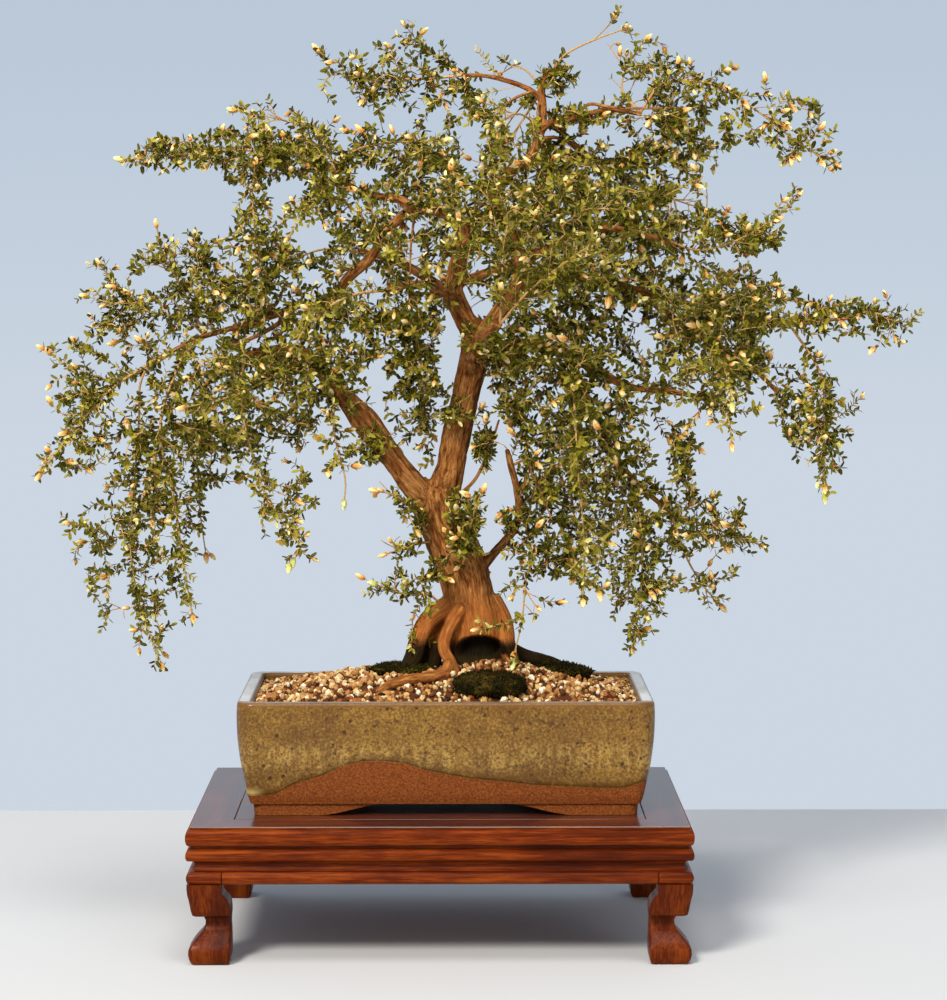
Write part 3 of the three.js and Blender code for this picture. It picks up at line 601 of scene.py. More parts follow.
def smooth_route(corners: np.ndarray, spacing: float) -> np.ndarray:
    """Runs a smooth line through corners.

    Args:
        corners: places, and any values that change along the way, one in each row.
        spacing: the length between the places of the result.

    Returns:
        The places and values along the line, one in each row.
    """
    before = np.vstack([2 * corners[0] - corners[1], corners[:-1]])
    after = np.vstack([corners[1:], 2 * corners[-1] - corners[-2]])
    slopes = (after - before) / 2
    rows = []
    for i in range(len(corners) - 1):
        length = np.linalg.norm(corners[i + 1, :3] - corners[i, :3])
        steps = max(1, round(length / spacing))
        t = (np.arange(steps) / steps)[:, None]
        rows.append(
            (2 * t**3 - 3 * t**2 + 1) * corners[i]
            + (t**3 - 2 * t**2 + t) * slopes[i]
            + (3 * t**2 - 2 * t**3) * corners[i + 1]
            + (t**3 - t**2) * slopes[i + 1]
        )
    return np.vstack([*rows, corners[-1:]])


def lengths_along(route: np.ndarray) -> np.ndarray:
    """The length of a route up to each of its places."""
    steps = np.linalg.norm(np.diff(route[:, :3], axis=0), axis=1)
    return np.concatenate([[0.0], np.cumsum(steps)])


def at_length(route: np.ndarray, length: float) -> np.ndarray:
    """The row of a route at a length along it."""
    lengths = lengths_along(route)
    return np.array([np.interp(length, lengths, column) for column in route.T])


def bent_route(start: np.ndarray, middle: np.ndarray, end: np.ndarray, count: int) -> np.ndarray:
    """A curve from start to end that is drawn towards the middle, as this many places."""
    t = np.linspace(0, 1, count)[:, None]
    return (1 - t) ** 2 * start + 2 * t * (1 - t) * middle + t**2 * end


def chance(n: float, seed: float) -> float:
    """A number from 0 to 1 that looks random and is the same in every run."""
    s = math.sin(n * 12.9898 + seed * 78.233) * 43758.5453
    return s - math.floor(s)


def lumpy(places: np.ndarray, seed: int) -> np.ndarray:
    """Smooth noise from 0 to 1 with cells of one unit.

    Args:
        places: one place in each row.
        seed: picks the pattern.

    Returns:
        The noise at each place.
    """
    cell = np.floor(places).astype(np.int64)
    part = places - cell
    part = part * part * (3 - 2 * part)
    total = np.zeros(len(places))
    for corner in itertools.product((0, 1), repeat=3):
        x, y, z = (cell + np.array(corner)).T
        mixed = (x * 73856093) ^ (y * 19349663) ^ (z * 83492791) ^ (seed * 39916801)
        mixed = ((mixed ^ (mixed >> 13)) * 1274126177) & 0x7FFFFFFF
        weight = np.prod(np.where(corner, part, 1 - part), axis=1)
        total += weight * (((mixed ^ (mixed >> 15)) & 0xFFFF) / 65535)
    return total


def rough(places: np.ndarray, seed: int, octaves: int) -> np.ndarray:
    """Noise from 0 to 1 with finer and finer lumps."""
    total = sum(lumpy(places * 2**k, seed + k) / 2**k for k in range(octaves))
    return total / sum(1 / 2**k for k in range(octaves))


def eased(values: np.ndarray, low: float, high: float) -> np.ndarray:
    """Goes smoothly from 0 at low to 1 at high."""
    share = np.clip((values - low) / (high - low), 0, 1)
    return share * share * (3 - 2 * share)


def rounded_ring(
    half_width: float,
    half_depth: float,
    corner: float,
    steps: tuple[int, int] = (120, 72),
    arc_steps: int = 7,
) -> np.ndarray:
    """One level of a box with rounded upright corners, anticlockwise from above.

    Args:
        half_width: half its size along X.
        half_depth: half its size along Y.
        corner: the radius of its corners.
        steps: steps on each straight side along X and along Y.
        arc_steps: steps in each corner.

    Returns:
        Its points, with Z at 0, one in each row. Rings of like settings have as many points.
    """
    rows = []
    corners = [(1, -1, -90.0), (1, 1, 0.0), (-1, 1, 90.0), (-1, -1, 180.0)]
    for k, (sx, sy, start) in enumerate(corners):
        angles = np.radians(start + 90.0 * np.arange(arc_steps + 1) / arc_steps)
        centre = np.array([sx * (half_width - corner), sy * (half_depth - corner)])
        arc = centre + corner * np.column_stack([np.cos(angles), np.sin(angles)])
        rows.append(arc)
        nx, ny, following = corners[(k + 1) % 4]
        angle = math.radians(following)
        end = np.array([nx * (half_width - corner), ny * (half_depth - corner)])
        end = end + corner * np.array([math.cos(angle), math.sin(angle)])
        count = steps[1 - k % 2]
        share = (np.arange(1, count) / count)[:, None]
        rows.append(arc[-1] + share * (end - arc[-1]))
    flat = np.vstack(rows)
    return np.column_stack([flat, np.zeros(len(flat))])


# Wood


@dataclass(frozen=True)
class BarkFinish:
    """Flaky reddish-brown bark that is smooth and orange low on the trunk."""

    lightest: Colour = (206, 156, 98)
    pale: Colour = (180, 124, 68)
    brown: Colour = (146, 90, 42)
    dark: Colour = (80, 42, 14)
    patch: Colour = (134, 72, 34)
    orange: Colour = (202, 124, 56)
    rust: Colour = (142, 78, 30)
    # painted shade: near black, for the recess between the roots, the low back wood and the snag
    hollow: Colour = (20, 12, 6)
    moss: Colour = (40, 36, 10)

    def make(self) -> bpy.types.Material:
        """Builds the material."""
        sheet = Sheet.for_material("bark")
        grain = sheet.attribute("grain", "Vector")
        strips = sheet.noise(sheet.stretched(grain, (0.5, 0.5, 0.07)), 1.0, 5.0, 0.62)
        threads = sheet.noise(sheet.stretched(grain, (0.55, 0.55, 0.07)), 1.0, 3.0)
        flakes = sheet.noise(sheet.stretched(grain, (0.9, 0.9, 0.22)), 1.0, 3.0)
        patches = sheet.noise(grain, 0.045, 2.0)
        relief = sheet.attribute("relief")
        shade = (strips * 0.75 + relief * 0.25).step(0.24, 0.76)
        stops = (0.0, self.dark), (0.26, self.brown), (0.74, self.pale), (1.0, self.lightest)
        colour = sheet.ramp(shade, *stops)
        colour = sheet.mix(patches.step(0.5, 0.72) * 0.25, colour, self.patch)
        cracks = 1 - abs(threads * 2 - 1).step(0.02, 0.13)
        colour = sheet.mix(cracks * flakes.step(0.36, 0.56) * 0.7, colour, self.dark)
        smooth = sheet.attribute("smoothness")
        glow = sheet.ramp((strips * 0.8 + flakes * 0.2).step(0.3, 0.75), (0.0, self.rust), (1.0, self.orange))
        colour = sheet.mix(smooth * 0.85, colour, glow)
        # Painted shade: the recess, the low back wood and the snag are darkened towards near black.
        colour = sheet.mix(sheet.attribute("hollow"), colour, self.hollow)
        green = sheet.attribute("mossiness") * flakes.step(0.3, 0.62)
        colour = sheet.mix(green, colour, self.moss)
        height = strips * 0.5 + flakes * 0.3 - cracks * 0.3
        return sheet.surface(
            Base_Color=colour,
            Roughness=0.92 - smooth * 0.2,
            Specular_IOR_Level=0.12,
            Normal=sheet.bump(height, 1.1 * MM, 0.8),
        )


# Every limb is a list of [across, down, depth, radius], the last two in millimetres.
LIMBS: dict[str, Route] = {
    "trunk": [
        (474, 700, 4, 22), (474, 676, 4, 29), (475, 652, 2, 29), (474, 628, 0, 26), (469, 604, 0, 23.5),
        (466, 582, 0, 22.5), (460, 560, 0, 23.5), (452, 540, 0, 22), (443, 520, 0, 20.5), (438, 500, 0, 19),
        (436, 486, 0, 14),
    ],
    "main": [
        (440, 506, 0, 16), (446, 482, 2, 14.5), (451, 466, 4, 13), (455, 440, 6, 13.3), (460, 418, 8, 12.8),
        (465, 398, 10, 12.8), (470, 378, 10, 13.3), (475, 358, 8, 13.5), (477, 342, 6, 14),
        (475, 328, 5, 10),
    ],
    "left_limb": [
        (434, 508, 0, 14), (412, 484, -6, 12.5), (393, 460, -12, 11), (379, 440, -16, 12),
        (364, 420, -20, 12), (351, 404, -22, 9.5), (335, 385, -20, 8), (316, 366, -16, 7),
        (303, 352, -12, 5.6), (280, 349, -4, 4.2), (250, 354, 6, 3.2), (222, 362, 14, 2.2),
    ],
    "left_upper_trunk": [
        (475, 336, 5, 12), (461, 312, 8, 10), (455, 298, 8, 9.5), (453, 287, 6, 8.5), (456, 270, 4, 8),
        (462, 250, 2, 8), (466, 236, 0, 8.4), (466, 222, -2, 6.5),
    ],
    "upper_left_arm": [
        (466, 238, 0, 7), (458, 225, -4, 6.2), (448, 215, -8, 5.8), (435, 210, -10, 5.6),
        (412, 206, -12, 5.2), (398, 199, -10, 4.2), (378, 196, -6, 3.6), (356, 190, 2, 3.3),
        (338, 176, 8, 3), (318, 160, 12, 2.8), (298, 150, 12, 2.5), (264, 150, 6, 2),
    ],
    "lower_left_arm": [
        (414, 207, -12, 4.6), (400, 218, -20, 4.6), (387, 232, -26, 4.6), (370, 258, -30, 4.6),
        (350, 276, -30, 5.2), (338, 291, -26, 4.8), (323, 304, -20, 4), (300, 305, -14, 3.7),
        (275, 315, -6, 3.4), (250, 323, 0, 3), (222, 331, 6, 2.6), (195, 340, 10, 2.3), (152, 361, 14, 1.8),
    ],
    "right_fork": [
        (477, 342, 6, 11), (487, 330, 2, 9.5), (497, 315, -2, 8), (507, 300, -4, 7.6), (515, 285, -4, 7.4),
        (521, 268, -2, 6.6),
    ],
    "leader": [
        (520, 272, -2, 7), (515, 240, 4, 6.6), (503, 215, 6, 6.4), (496, 195, 4, 6.2), (510, 172, 0, 5.6),
        (530, 157, -2, 5), (539, 138, -2, 4.4), (543, 115, 0, 4), (542, 88, 3, 3.4), (548, 73, 4, 2.7),
        (568, 66, 0, 2),
    ],
    "top_left_arch": [
        (541, 100, 2, 3), (530, 90, 6, 2.8), (508, 81, 12, 2.5), (485, 76, 16, 2.2), (462, 75, 18, 1.9),
    ],
    "top_right_arch": [
        (540, 132, -2, 3.6), (553, 122, -8, 3.3), (575, 118, -14, 3), (607, 110, -20, 2.6),
        (642, 114, -24, 2.1),
    ],
    "right_high_limb": [
        (541, 122, 0, 3.6), (560, 131, 10, 3.2), (580, 150, 18, 3), (600, 161, 24, 2.8),
        (625, 159, 30, 2.4), (646, 150, 34, 2),
    ],
    "right_mid_limb": [
        (518, 260, -3, 5.5), (545, 250, -10, 4.8), (575, 236, -16, 4.2), (605, 228, -22, 3.6),
        (640, 234, -26, 3), (676, 243, -30, 2.3),
    ],
    "right_arm": [
        (515, 287, -3, 6.5), (540, 282, 8, 5.8), (570, 278, 14, 5.2), (600, 281, 18, 4.8),
        (635, 290, 20, 4.4), (665, 298, 20, 4), (700, 308, 18, 3.6), (740, 318, 14, 3.1),
        (780, 325, 10, 2.6), (848, 318, 2, 1.8),
    ],
    "right_arm_low": [
        (640, 291, 20, 3.6), (665, 312, 10, 3.4), (700, 335, 0, 3.1), (725, 350, -6, 2.8),
        (755, 370, -10, 2.4), (780, 395, -12, 2),
    ],
    "low_right_limb": [
        (480, 355, 6, 8.5), (510, 346, 0, 7), (540, 346, -6, 6.2), (570, 356, -12, 5.6),
        (600, 372, -16, 4.6), (630, 387, -20, 3.7), (665, 391, -22, 3), (697, 396, -24, 2.2),
    ],
    "curtain_limb": [
        (568, 355, -12, 4.8), (586, 398, -4, 4.2), (605, 440, 4, 3.6), (625, 470, 10, 3.1),
        (650, 495, 14, 2.7), (672, 513, 16, 2.1),
    ],
    "back_limb": [
        (470, 375, 10, 8), (480, 350, 60, 7), (495, 322, 110, 5.6), (520, 300, 150, 4.2),
        (548, 288, 178, 3),
    ],
    "front_limb": [(473, 370, 6, 6.5), (470, 352, -40, 5.4), (480, 336, -80, 4.4), (500, 324, -122, 3.2)],
    "back_left_limb": [(456, 302, 8, 6), (430, 280, 50, 5), (398, 262, 92, 4.2), (360, 250, 132, 3)],
    "front_left_limb": [
        (457, 302, 6, 5.4), (440, 290, -40, 4.4), (418, 284, -82, 3.6), (386, 290, -122, 2.6),
    ],
    "crossing_branch": [(457, 284, 6, 5), (478, 276, 10, 4.6), (500, 269, 8, 4.6), (518, 262, 0, 4.6)],
    "cut_stub": [(474, 238, -4, 3.8), (457, 247, -12, 3.4), (443, 258, -18, 2.8)],
    "snag": [
        (484, 566, -10, 4.4), (495, 552, -18, 4.2), (506, 540, -22, 4), (516, 526, -24, 3.8),
        (519, 506, -24, 3.7), (516, 485, -22, 3.5), (511, 466, -20, 3.3), (507, 449, -19, 2.2),
    ],
    "left_root": [
        (458, 602, -6, 11), (441, 611, -10, 9.5), (427, 622, -12, 9), (419, 640, -14, 9),
        (412, 660, -16, 8), (398, 682, -18, 6.5), (384, 702, -20, 4),
    ],
    "front_root": [
        (463, 606, -14, 8), (455, 617, -24, 6.8), (447, 632, -30, 6.2), (444, 648, -34, 6),
        (451, 664, -38, 5.8), (460, 688, -42, 4.5),
    ],
    "creeping_root": [
        (449, 660, -36, 5.4), (446, 671, -46, 5.2), (432, 677, -58, 5.2), (412, 679, -68, 5),
        (392, 684, -76, 4.6), (372, 697, -84, 3.4),
    ],
    "right_root": [
        (490, 598, 0, 11), (501, 621, -2, 11), (503, 642, -6, 11.5), (509, 662, -12, 10),
        (522, 684, -22, 8), (530, 708, -30, 5),
    ],
    "right_back_root": [(490, 642, 8, 12), (520, 656, 18, 9), (556, 666, 26, 7), (588, 684, 30, 4)],
    "back_root": [(472, 640, 14, 13), (466, 660, 42, 9.5), (455, 674, 70, 6)],
}

# Low wood between the roots, and a root that creeps along the gravel.
LOW_WOOD: dict[str, Route] = {
    "inner_root": [(450, 620, 6, 12), (433, 645, 3, 12), (426, 676, 0, 11)],
    "thin_root": [
        (504, 656, -14, 2.6), (511, 665, -34, 2.4), (519, 675, -54, 2.4), (527, 685, -76, 2.2),
        (533, 694, -92, 1.7),
    ],
}
PALE_ROOTS = ("front_root", "creeping_root", "thin_root")

# Thin leafless twigs, with places and radii as above.
BARE_TWIGS: dict[str, Route] = {
    "forked_twig": [
        (511, 466, -20, 1.2), (527, 460, -20, 1.0), (532, 475, -22, 1.0), (540, 490, -22, 0.9),
        (552, 520, -24, 0.7),
    ],
    "forked_twig_side": [(527, 460, -20, 0.9), (540, 468, -14, 0.8), (560, 470, -8, 0.6)],
    "curved_twig": [(458, 496, -6, 1.6), (476, 478, -12, 1.5), (490, 447, -8, 1.3), (499, 420, 4, 0.9)],
    "upright_twig": [(538, 104, -4, 1.2), (537, 140, -12, 1.2), (538, 178, -14, 1.1)],
    "hanging_twig": [
        (405, 213, -14, 1.5), (398, 240, -2, 1.4), (403, 258, 6, 1.3), (410, 290, 12, 1.3),
        (414, 345, 14, 1.1), (425, 420, 10, 0.8),
    ],
    "hanging_twig_left": [(402, 236, 0, 1.1), (392, 262, 8, 1.0), (387, 285, 12, 0.8)],
    "hanging_twig_right": [(415, 212, -16, 1.2), (411, 245, -26, 1.1), (410, 275, -30, 0.8)],
    "drooping_twig": [(303, 352, -12, 1.6), (290, 362, -18, 1.4), (280, 378, -24, 1.0)],
    "low_twig": [(298, 348, -10, 1.4), (280, 362, 2, 1.2), (262, 373, 12, 0.9)],
    "second_arm": [(282, 320, -6, 2.2), (275, 326, -12, 2.1), (252, 338, -18, 1.8), (228, 347, -22, 1.3)],
    "crown_twig": [(544, 138, -2, 1.6), (558, 138, 8, 1.5), (572, 146, 16, 1.4), (600, 175, 26, 1.0)],
    "high_twig": [(580, 112, -16, 1.5), (590, 104, -20, 1.4), (620, 108, -30, 1.2), (685, 108, -40, 0.8)],
    "high_twig_back": [(622, 160, 30, 1.3), (655, 143, 40, 1.1), (690, 120, 50, 0.8)],
    "arm_twig": [(700, 306, 18, 1.4), (722, 282, 24, 1.2), (742, 266, 30, 0.8)],
    "curtain_twig": [(628, 474, 10, 1.3), (632, 500, 4, 1.1), (638, 535, 0, 0.8)],
    "inner_twig": [(560, 362, -10, 1.4), (572, 420, 10, 1.3), (570, 480, 24, 1.2), (578, 540, 30, 0.8)],
    "snag_side": [(517, 500, -24, 1.6), (524, 486, -30, 1.2), (526, 478, -34, 0.8)],
    "crown_side": [(530, 92, 4, 1.3), (512, 100, 10, 1.1), (496, 116, 14, 0.9), (488, 134, 16, 0.7)],
}


def led_in(route: np.ndarray, wood: np.ndarray, reach: float = 8 * MM) -> np.ndarray:
    """Starts a route inside the wood where it starts a little way off it.

    Args:
        route: one place in each row.
        wood: places along the wood with its radius there.
        reach: the longest way to the wood that is bridged.

    Returns:
        The route, with one more place at its start if it needs one.
    """
    gap = np.linalg.norm(wood[:, :3] - route[0, :3], axis=1) - wood[:, 3]
    nearest = int(np.argmin(gap))
    if not 0 < gap[nearest] < reach:
        return route
    first = route[0].copy()
    first[:3] = wood[nearest, :3]
    return np.vstack([first, route])


@dataclass
class Wood:
    """The trunk, branches and roots, one body of wood, and its bare twigs."""

    finish: BarkFinish = field(default_factory=BarkFinish)
    voxel: float = 1.7 * MM
    spacing: float = 4 * MM  # between the places of a limb
    thick_sides: int = 20
    thin_sides: int = 10
    twig_sides: int = 6
    strip: Place = (2.8, 2.8, 15.0)  # a bark strip's size in millimetres, its length last
    crack: Place = (1.5, 1.5, 1.6)  # a crack's size in strips
    burl_size: Place = (13.0, 13.0, 22.0)
    fissure: float = 0.8 * MM
    burl: float = 1.5 * MM
    hollow_centre: tuple[float, float] = (480, 649)  # in the picture
    hollow_half: tuple[float, float] = (25, 14)
    hollow_depth: float = 15 * MM
    hollow_from: float = -27  # the depth that it starts behind
    smooth_below: tuple[float, float] = (575, 622)  # in the picture, where the bark turns smooth
    painted_shade_below: tuple[float, float] = (636, 648)  # in the picture, where painted shade darkens the back wood
    mossy_below: tuple[float, float] = (640, 668)  # in the picture, where moss sets in
    shade_low: float = 0.93  # how dark the painted shade on the low back wood is
    # how dark the painted shade on the snag is
    shade_snag: float = 0.42

    def routes(self, listed: dict[str, Route], spacing: float) -> dict[str, np.ndarray]:
        """Smooth routes with their radii, in metres.

        Args:
            listed: limbs or twigs as they are seen.
            spacing: the length between places.

        Returns:
            Place and radius in each row, by name.
        """
        found = {}
        for name, corners in listed.items():
            rows = [[*SIGHT.seen(*corner[:3]), corner[3] * MM] for corner in corners]
            found[name] = smooth_route(np.array(rows), spacing)
        return found

    def build(self) -> bpy.types.Object:
        """Builds and dresses the wood.

        Returns:
            The piece.
        """
        limbs = self.routes(LIMBS | LOW_WOOD, self.spacing)
        shell = Shell()
        for route in limbs.values():
            thick = route[:, 3].max() > 10 * MM
            sides = self.thick_sides if thick else self.thin_sides
            wave = self._flutes(route, sides) if thick else None
            shell.tube(route[:, :3], route[:, 3], sides, wave)
        piece = piece_from("wood", shell.all_points(), shell.faces)
        remesh = piece.modifiers.new("merge", "REMESH")
        remesh.mode = "VOXEL"
        remesh.voxel_size = self.voxel
        remesh.use_smooth_shade = True
        smooth = piece.modifiers.new("soften", "SMOOTH")
        smooth.factor = 0.5
        smooth.iterations = 4
        settle(piece)
        self._carve(piece.data, limbs)
        piece.data.materials.append(self.finish.make())
        self._add_twigs(piece, np.vstack(list(limbs.values())))
        return piece

    @staticmethod
    def _flutes(route: np.ndarray, sides: int) -> np.ndarray:
        """Lengthwise swellings of a thick limb, which turn slowly round it."""
        angles = TURN * np.arange(sides) / sides
        lengths = lengths_along(route)[:, None] / MM
        share = np.clip((route[:, 3:4] / MM - 10) / 12, 0.25, 1)
        turn = lengths / 70
        waves = 0.09 * np.cos(3 * angles + turn) + 0.06 * np.cos(5 * angles - 1.7 * turn + 1.0)
        return 1 + share * waves

    def _carve(self, mesh: bpy.types.Mesh, limbs: dict[str, np.ndarray]) -> None:
        """Gives the wood its bark relief, its carved recess and what the bark's colours read, painted shade
        among them.

        Args:
            mesh: the merged wood.
            limbs: the limbs' routes.
        """
        points, normals = points_of(mesh), normals_of(mesh)
        grain, radius, away = self._grain(points, limbs)
        strips = rough(grain / np.array(self.strip), 5, 3)
        crack = 1 - np.abs(2 * lumpy(grain / (np.array(self.strip) * self.crack), 11) - 1)
        burls = rough(grain / np.array(self.burl_size), 21, 2) - 0.5
        seen = SIGHT.picture(points)
        smoothness = eased(seen[:, 1], *self.smooth_below) * eased(radius, 3.0, 7.0)
        thick = np.clip(radius / 13, 0.12, 1)
        relief = strips - 0.9 * eased(crack, 0.72, 0.98)
        depth = self.fissure * thick * (1 - 0.6 * smoothness)
        shift = depth * 1.7 * (relief - 0.45) + self.burl * thick * burls * 1.4
        shift = shift + np.clip(0.92 * radius - away, 0, 0.8) * MM
        points = points + normals * shift[:, None]
        across, down = self.hollow_centre
        wide, high = self.hollow_half
        inside = np.hypot((seen[:, 0] - across) / wide, (seen[:, 1] - down) / high)
        front = normals[:, 1] < 0.25
        hollow = np.where(front & (seen[:, 2] > self.hollow_from), 1 - eased(inside, 0.72, 1.05), 0)
        points[:, 1] += self.hollow_depth * hollow
        place(mesh, points)
        # Painted shade: the recess, the low back wood and the snag are darkened, and the pale roots stay lit.
        light = self._near(points, [limbs[name] for name in PALE_ROOTS])
        below = eased(seen[:, 1], *self.painted_shade_below) * (1 - light)
        snag = self.shade_snag * self._near(points, [limbs["snag"]])
        give(
            mesh,
            grain=grain,
            relief=np.clip(0.5 + 0.9 * (relief - 0.45), 0, 1),
            smoothness=smoothness * (1 - below),
            hollow=np.maximum.reduce([hollow, self.shade_low * below, snag]),
            mossiness=eased(seen[:, 1], *self.mossy_below) * (1 - 0.9 * light),
        )

    @staticmethod
    def _near(points: np.ndarray, routes: list[np.ndarray]) -> np.ndarray:
        """How much points belong to some limbs, from 0 to 1."""
        share = np.zeros(len(points))
        for route in routes:
            gap = np.linalg.norm(points[:, None] - route[None, :, :3], axis=2) / route[:, 3]
            share = np.maximum(share, 1 - eased(gap.min(axis=1), 1.15, 1.45))
        return share

    @staticmethod
    def _grain(points: np.ndarray, limbs: dict[str, np.ndarray]) -> tuple[np.ndarray, np.ndarray, np.ndarray]:
        """Finds each point's place in the limb it belongs to.

        Args:
            points: points on the wood.
            limbs: the limbs' routes.

        Returns:
            In millimetres, the place across and along the limb, its radius and the distance from its middle.
        """
        centres, radii, lengths, frames = [], [], [], []
        for n, route in enumerate(limbs.values()):
            centres.append(route[:, :3])
            radii.append(route[:, 3])
            lengths.append(lengths_along(route) + 0.37 * n)
            frames.append(np.stack(frames_along(route[:, :3]), axis=1))
        centres, radii = np.vstack(centres), np.concatenate(radii)
        middles, widths = centres.astype(np.float32), radii.astype(np.float32)
        lengths, frames = np.concatenate(lengths), np.vstack(frames)
        nearest = np.empty(len(points), int)
        for start in range(0, len(points), 4000):
            block = points[start : start + 4000].astype(np.float32)
            gap = np.linalg.norm(block[:, None, :] - middles[None], axis=2) - widths
            nearest[start : start + 4000] = gap.argmin(axis=1)
        away = points - centres[nearest]
        tangent, side, up = (frames[nearest, k] for k in range(3))
        along = lengths[nearest] + np.sum(away * tangent, axis=1)
        x, y = np.sum(away * side, axis=1), np.sum(away * up, axis=1)
        return np.column_stack([x, y, along]) / MM, radii[nearest] / MM, np.hypot(x, y) / MM

    def _add_twigs(self, piece: bpy.types.Object, limbs: np.ndarray) -> None:
        """Joins the bare twigs to the wood, whose places and radii are given."""
        shell = Shell()
        grains = []
        for n, twig in enumerate(self.routes(BARE_TWIGS, self.spacing).values()):
            route = led_in(twig, limbs)
            knots = 1 + 0.12 * np.array([chance(k, n) for k in range(len(route))])
            shell.tube(route[:, :3], route[:, 3] * knots, self.twig_sides)
            along = np.repeat(lengths_along(route) / MM, self.twig_sides)
            around = np.tile(circle(self.twig_sides), (len(route), 1))
            grains.append(np.column_stack([around, along]))
        twigs = piece_from("bare_twigs", shell.all_points(), shell.faces, grain=np.vstack(grains))
        give(twigs.data, relief=np.full(shell.count, 0.6))
        twigs.data.materials.append(piece.data.materials[0])
        join_into(piece, twigs)


# Leafy sprays


@dataclass(frozen=True)
class LeafFinish:
    """Small firm leaves, dark to olive green, paler and yellower where they are young."""

    old: Colour = (20, 27, 0)
    middle: Colour = (78, 77, 5)
    young: Colour = (156, 146, 44)
    tender: Colour = (242, 230, 160)
    rib: Colour = (184, 176, 74)

    def make(self) -> bpy.types.Material:
        """Builds the material."""
        sheet = Sheet.for_material("leaf")
        tint = sheet.attribute("tint")
        blade = sheet.attribute("blade", "Vector")
        across = abs(sheet.parts(blade)[0])
        stops = (0.0, self.old), (0.42, self.middle), (0.78, self.young), (1.0, self.tender)
        colour = sheet.ramp(tint, *stops)
        colour = sheet.mix((1 - across).step(0.6, 1.0) * 0.22, colour, self.rib)
        return sheet.surface(Base_Color=colour, Roughness=0.4, Specular_IOR_Level=0.1)


@dataclass(frozen=True)
class BudFinish:
    """Buds with orange scales low down and cream white ones at the tip."""

    base: Colour = (176, 104, 40)
    scale: Colour = (226, 164, 82)
    tip: Colour = (240, 218, 156)
    green_base: Colour = (150, 156, 74)
    green: Colour = (206, 204, 116)
    green_tip: Colour = (240, 238, 196)

    def make(self) -> bpy.types.Material:
        """Builds the material."""
        sheet = Sheet.for_material("bud")
        tint = sheet.attribute("tint")
        _, along, scales = sheet.parts(sheet.attribute("blade", "Vector"))
        stops = (0.05, self.base), (0.38, self.scale), (0.75, self.tip)
        colour = sheet.ramp(along + (scales - 0.5) * 0.25, *stops)
        pale = sheet.ramp(along, (0.0, self.green_base), (0.6, self.green), (1.0, self.green_tip))
        colour = sheet.mix(tint.step(0.6, 0.8), colour, pale)
        return sheet.surface(Base_Color=colour, Roughness=0.6, Specular_IOR_Level=0.3)


@dataclass(frozen=True)
class TwigFinish:
    """Thin tan twigs, greener where they are young."""

    tan: Colour = (228, 176, 116)
    green: Colour = (184, 152, 80)
    blotch: Colour = (92, 60, 34)

    def make(self) -> bpy.types.Material:
        """Builds the material."""
        sheet = Sheet.for_material("twig")
        colour = sheet.mix(sheet.attribute("tint"), self.tan, self.green)
        blotch = sheet.noise(sheet.spot(), 260.0)
        colour = sheet.mix(blotch * 0.35, colour, self.blotch)
        return sheet.surface(Base_Color=colour, Roughness=0.8, Specular_IOR_Level=0.2)


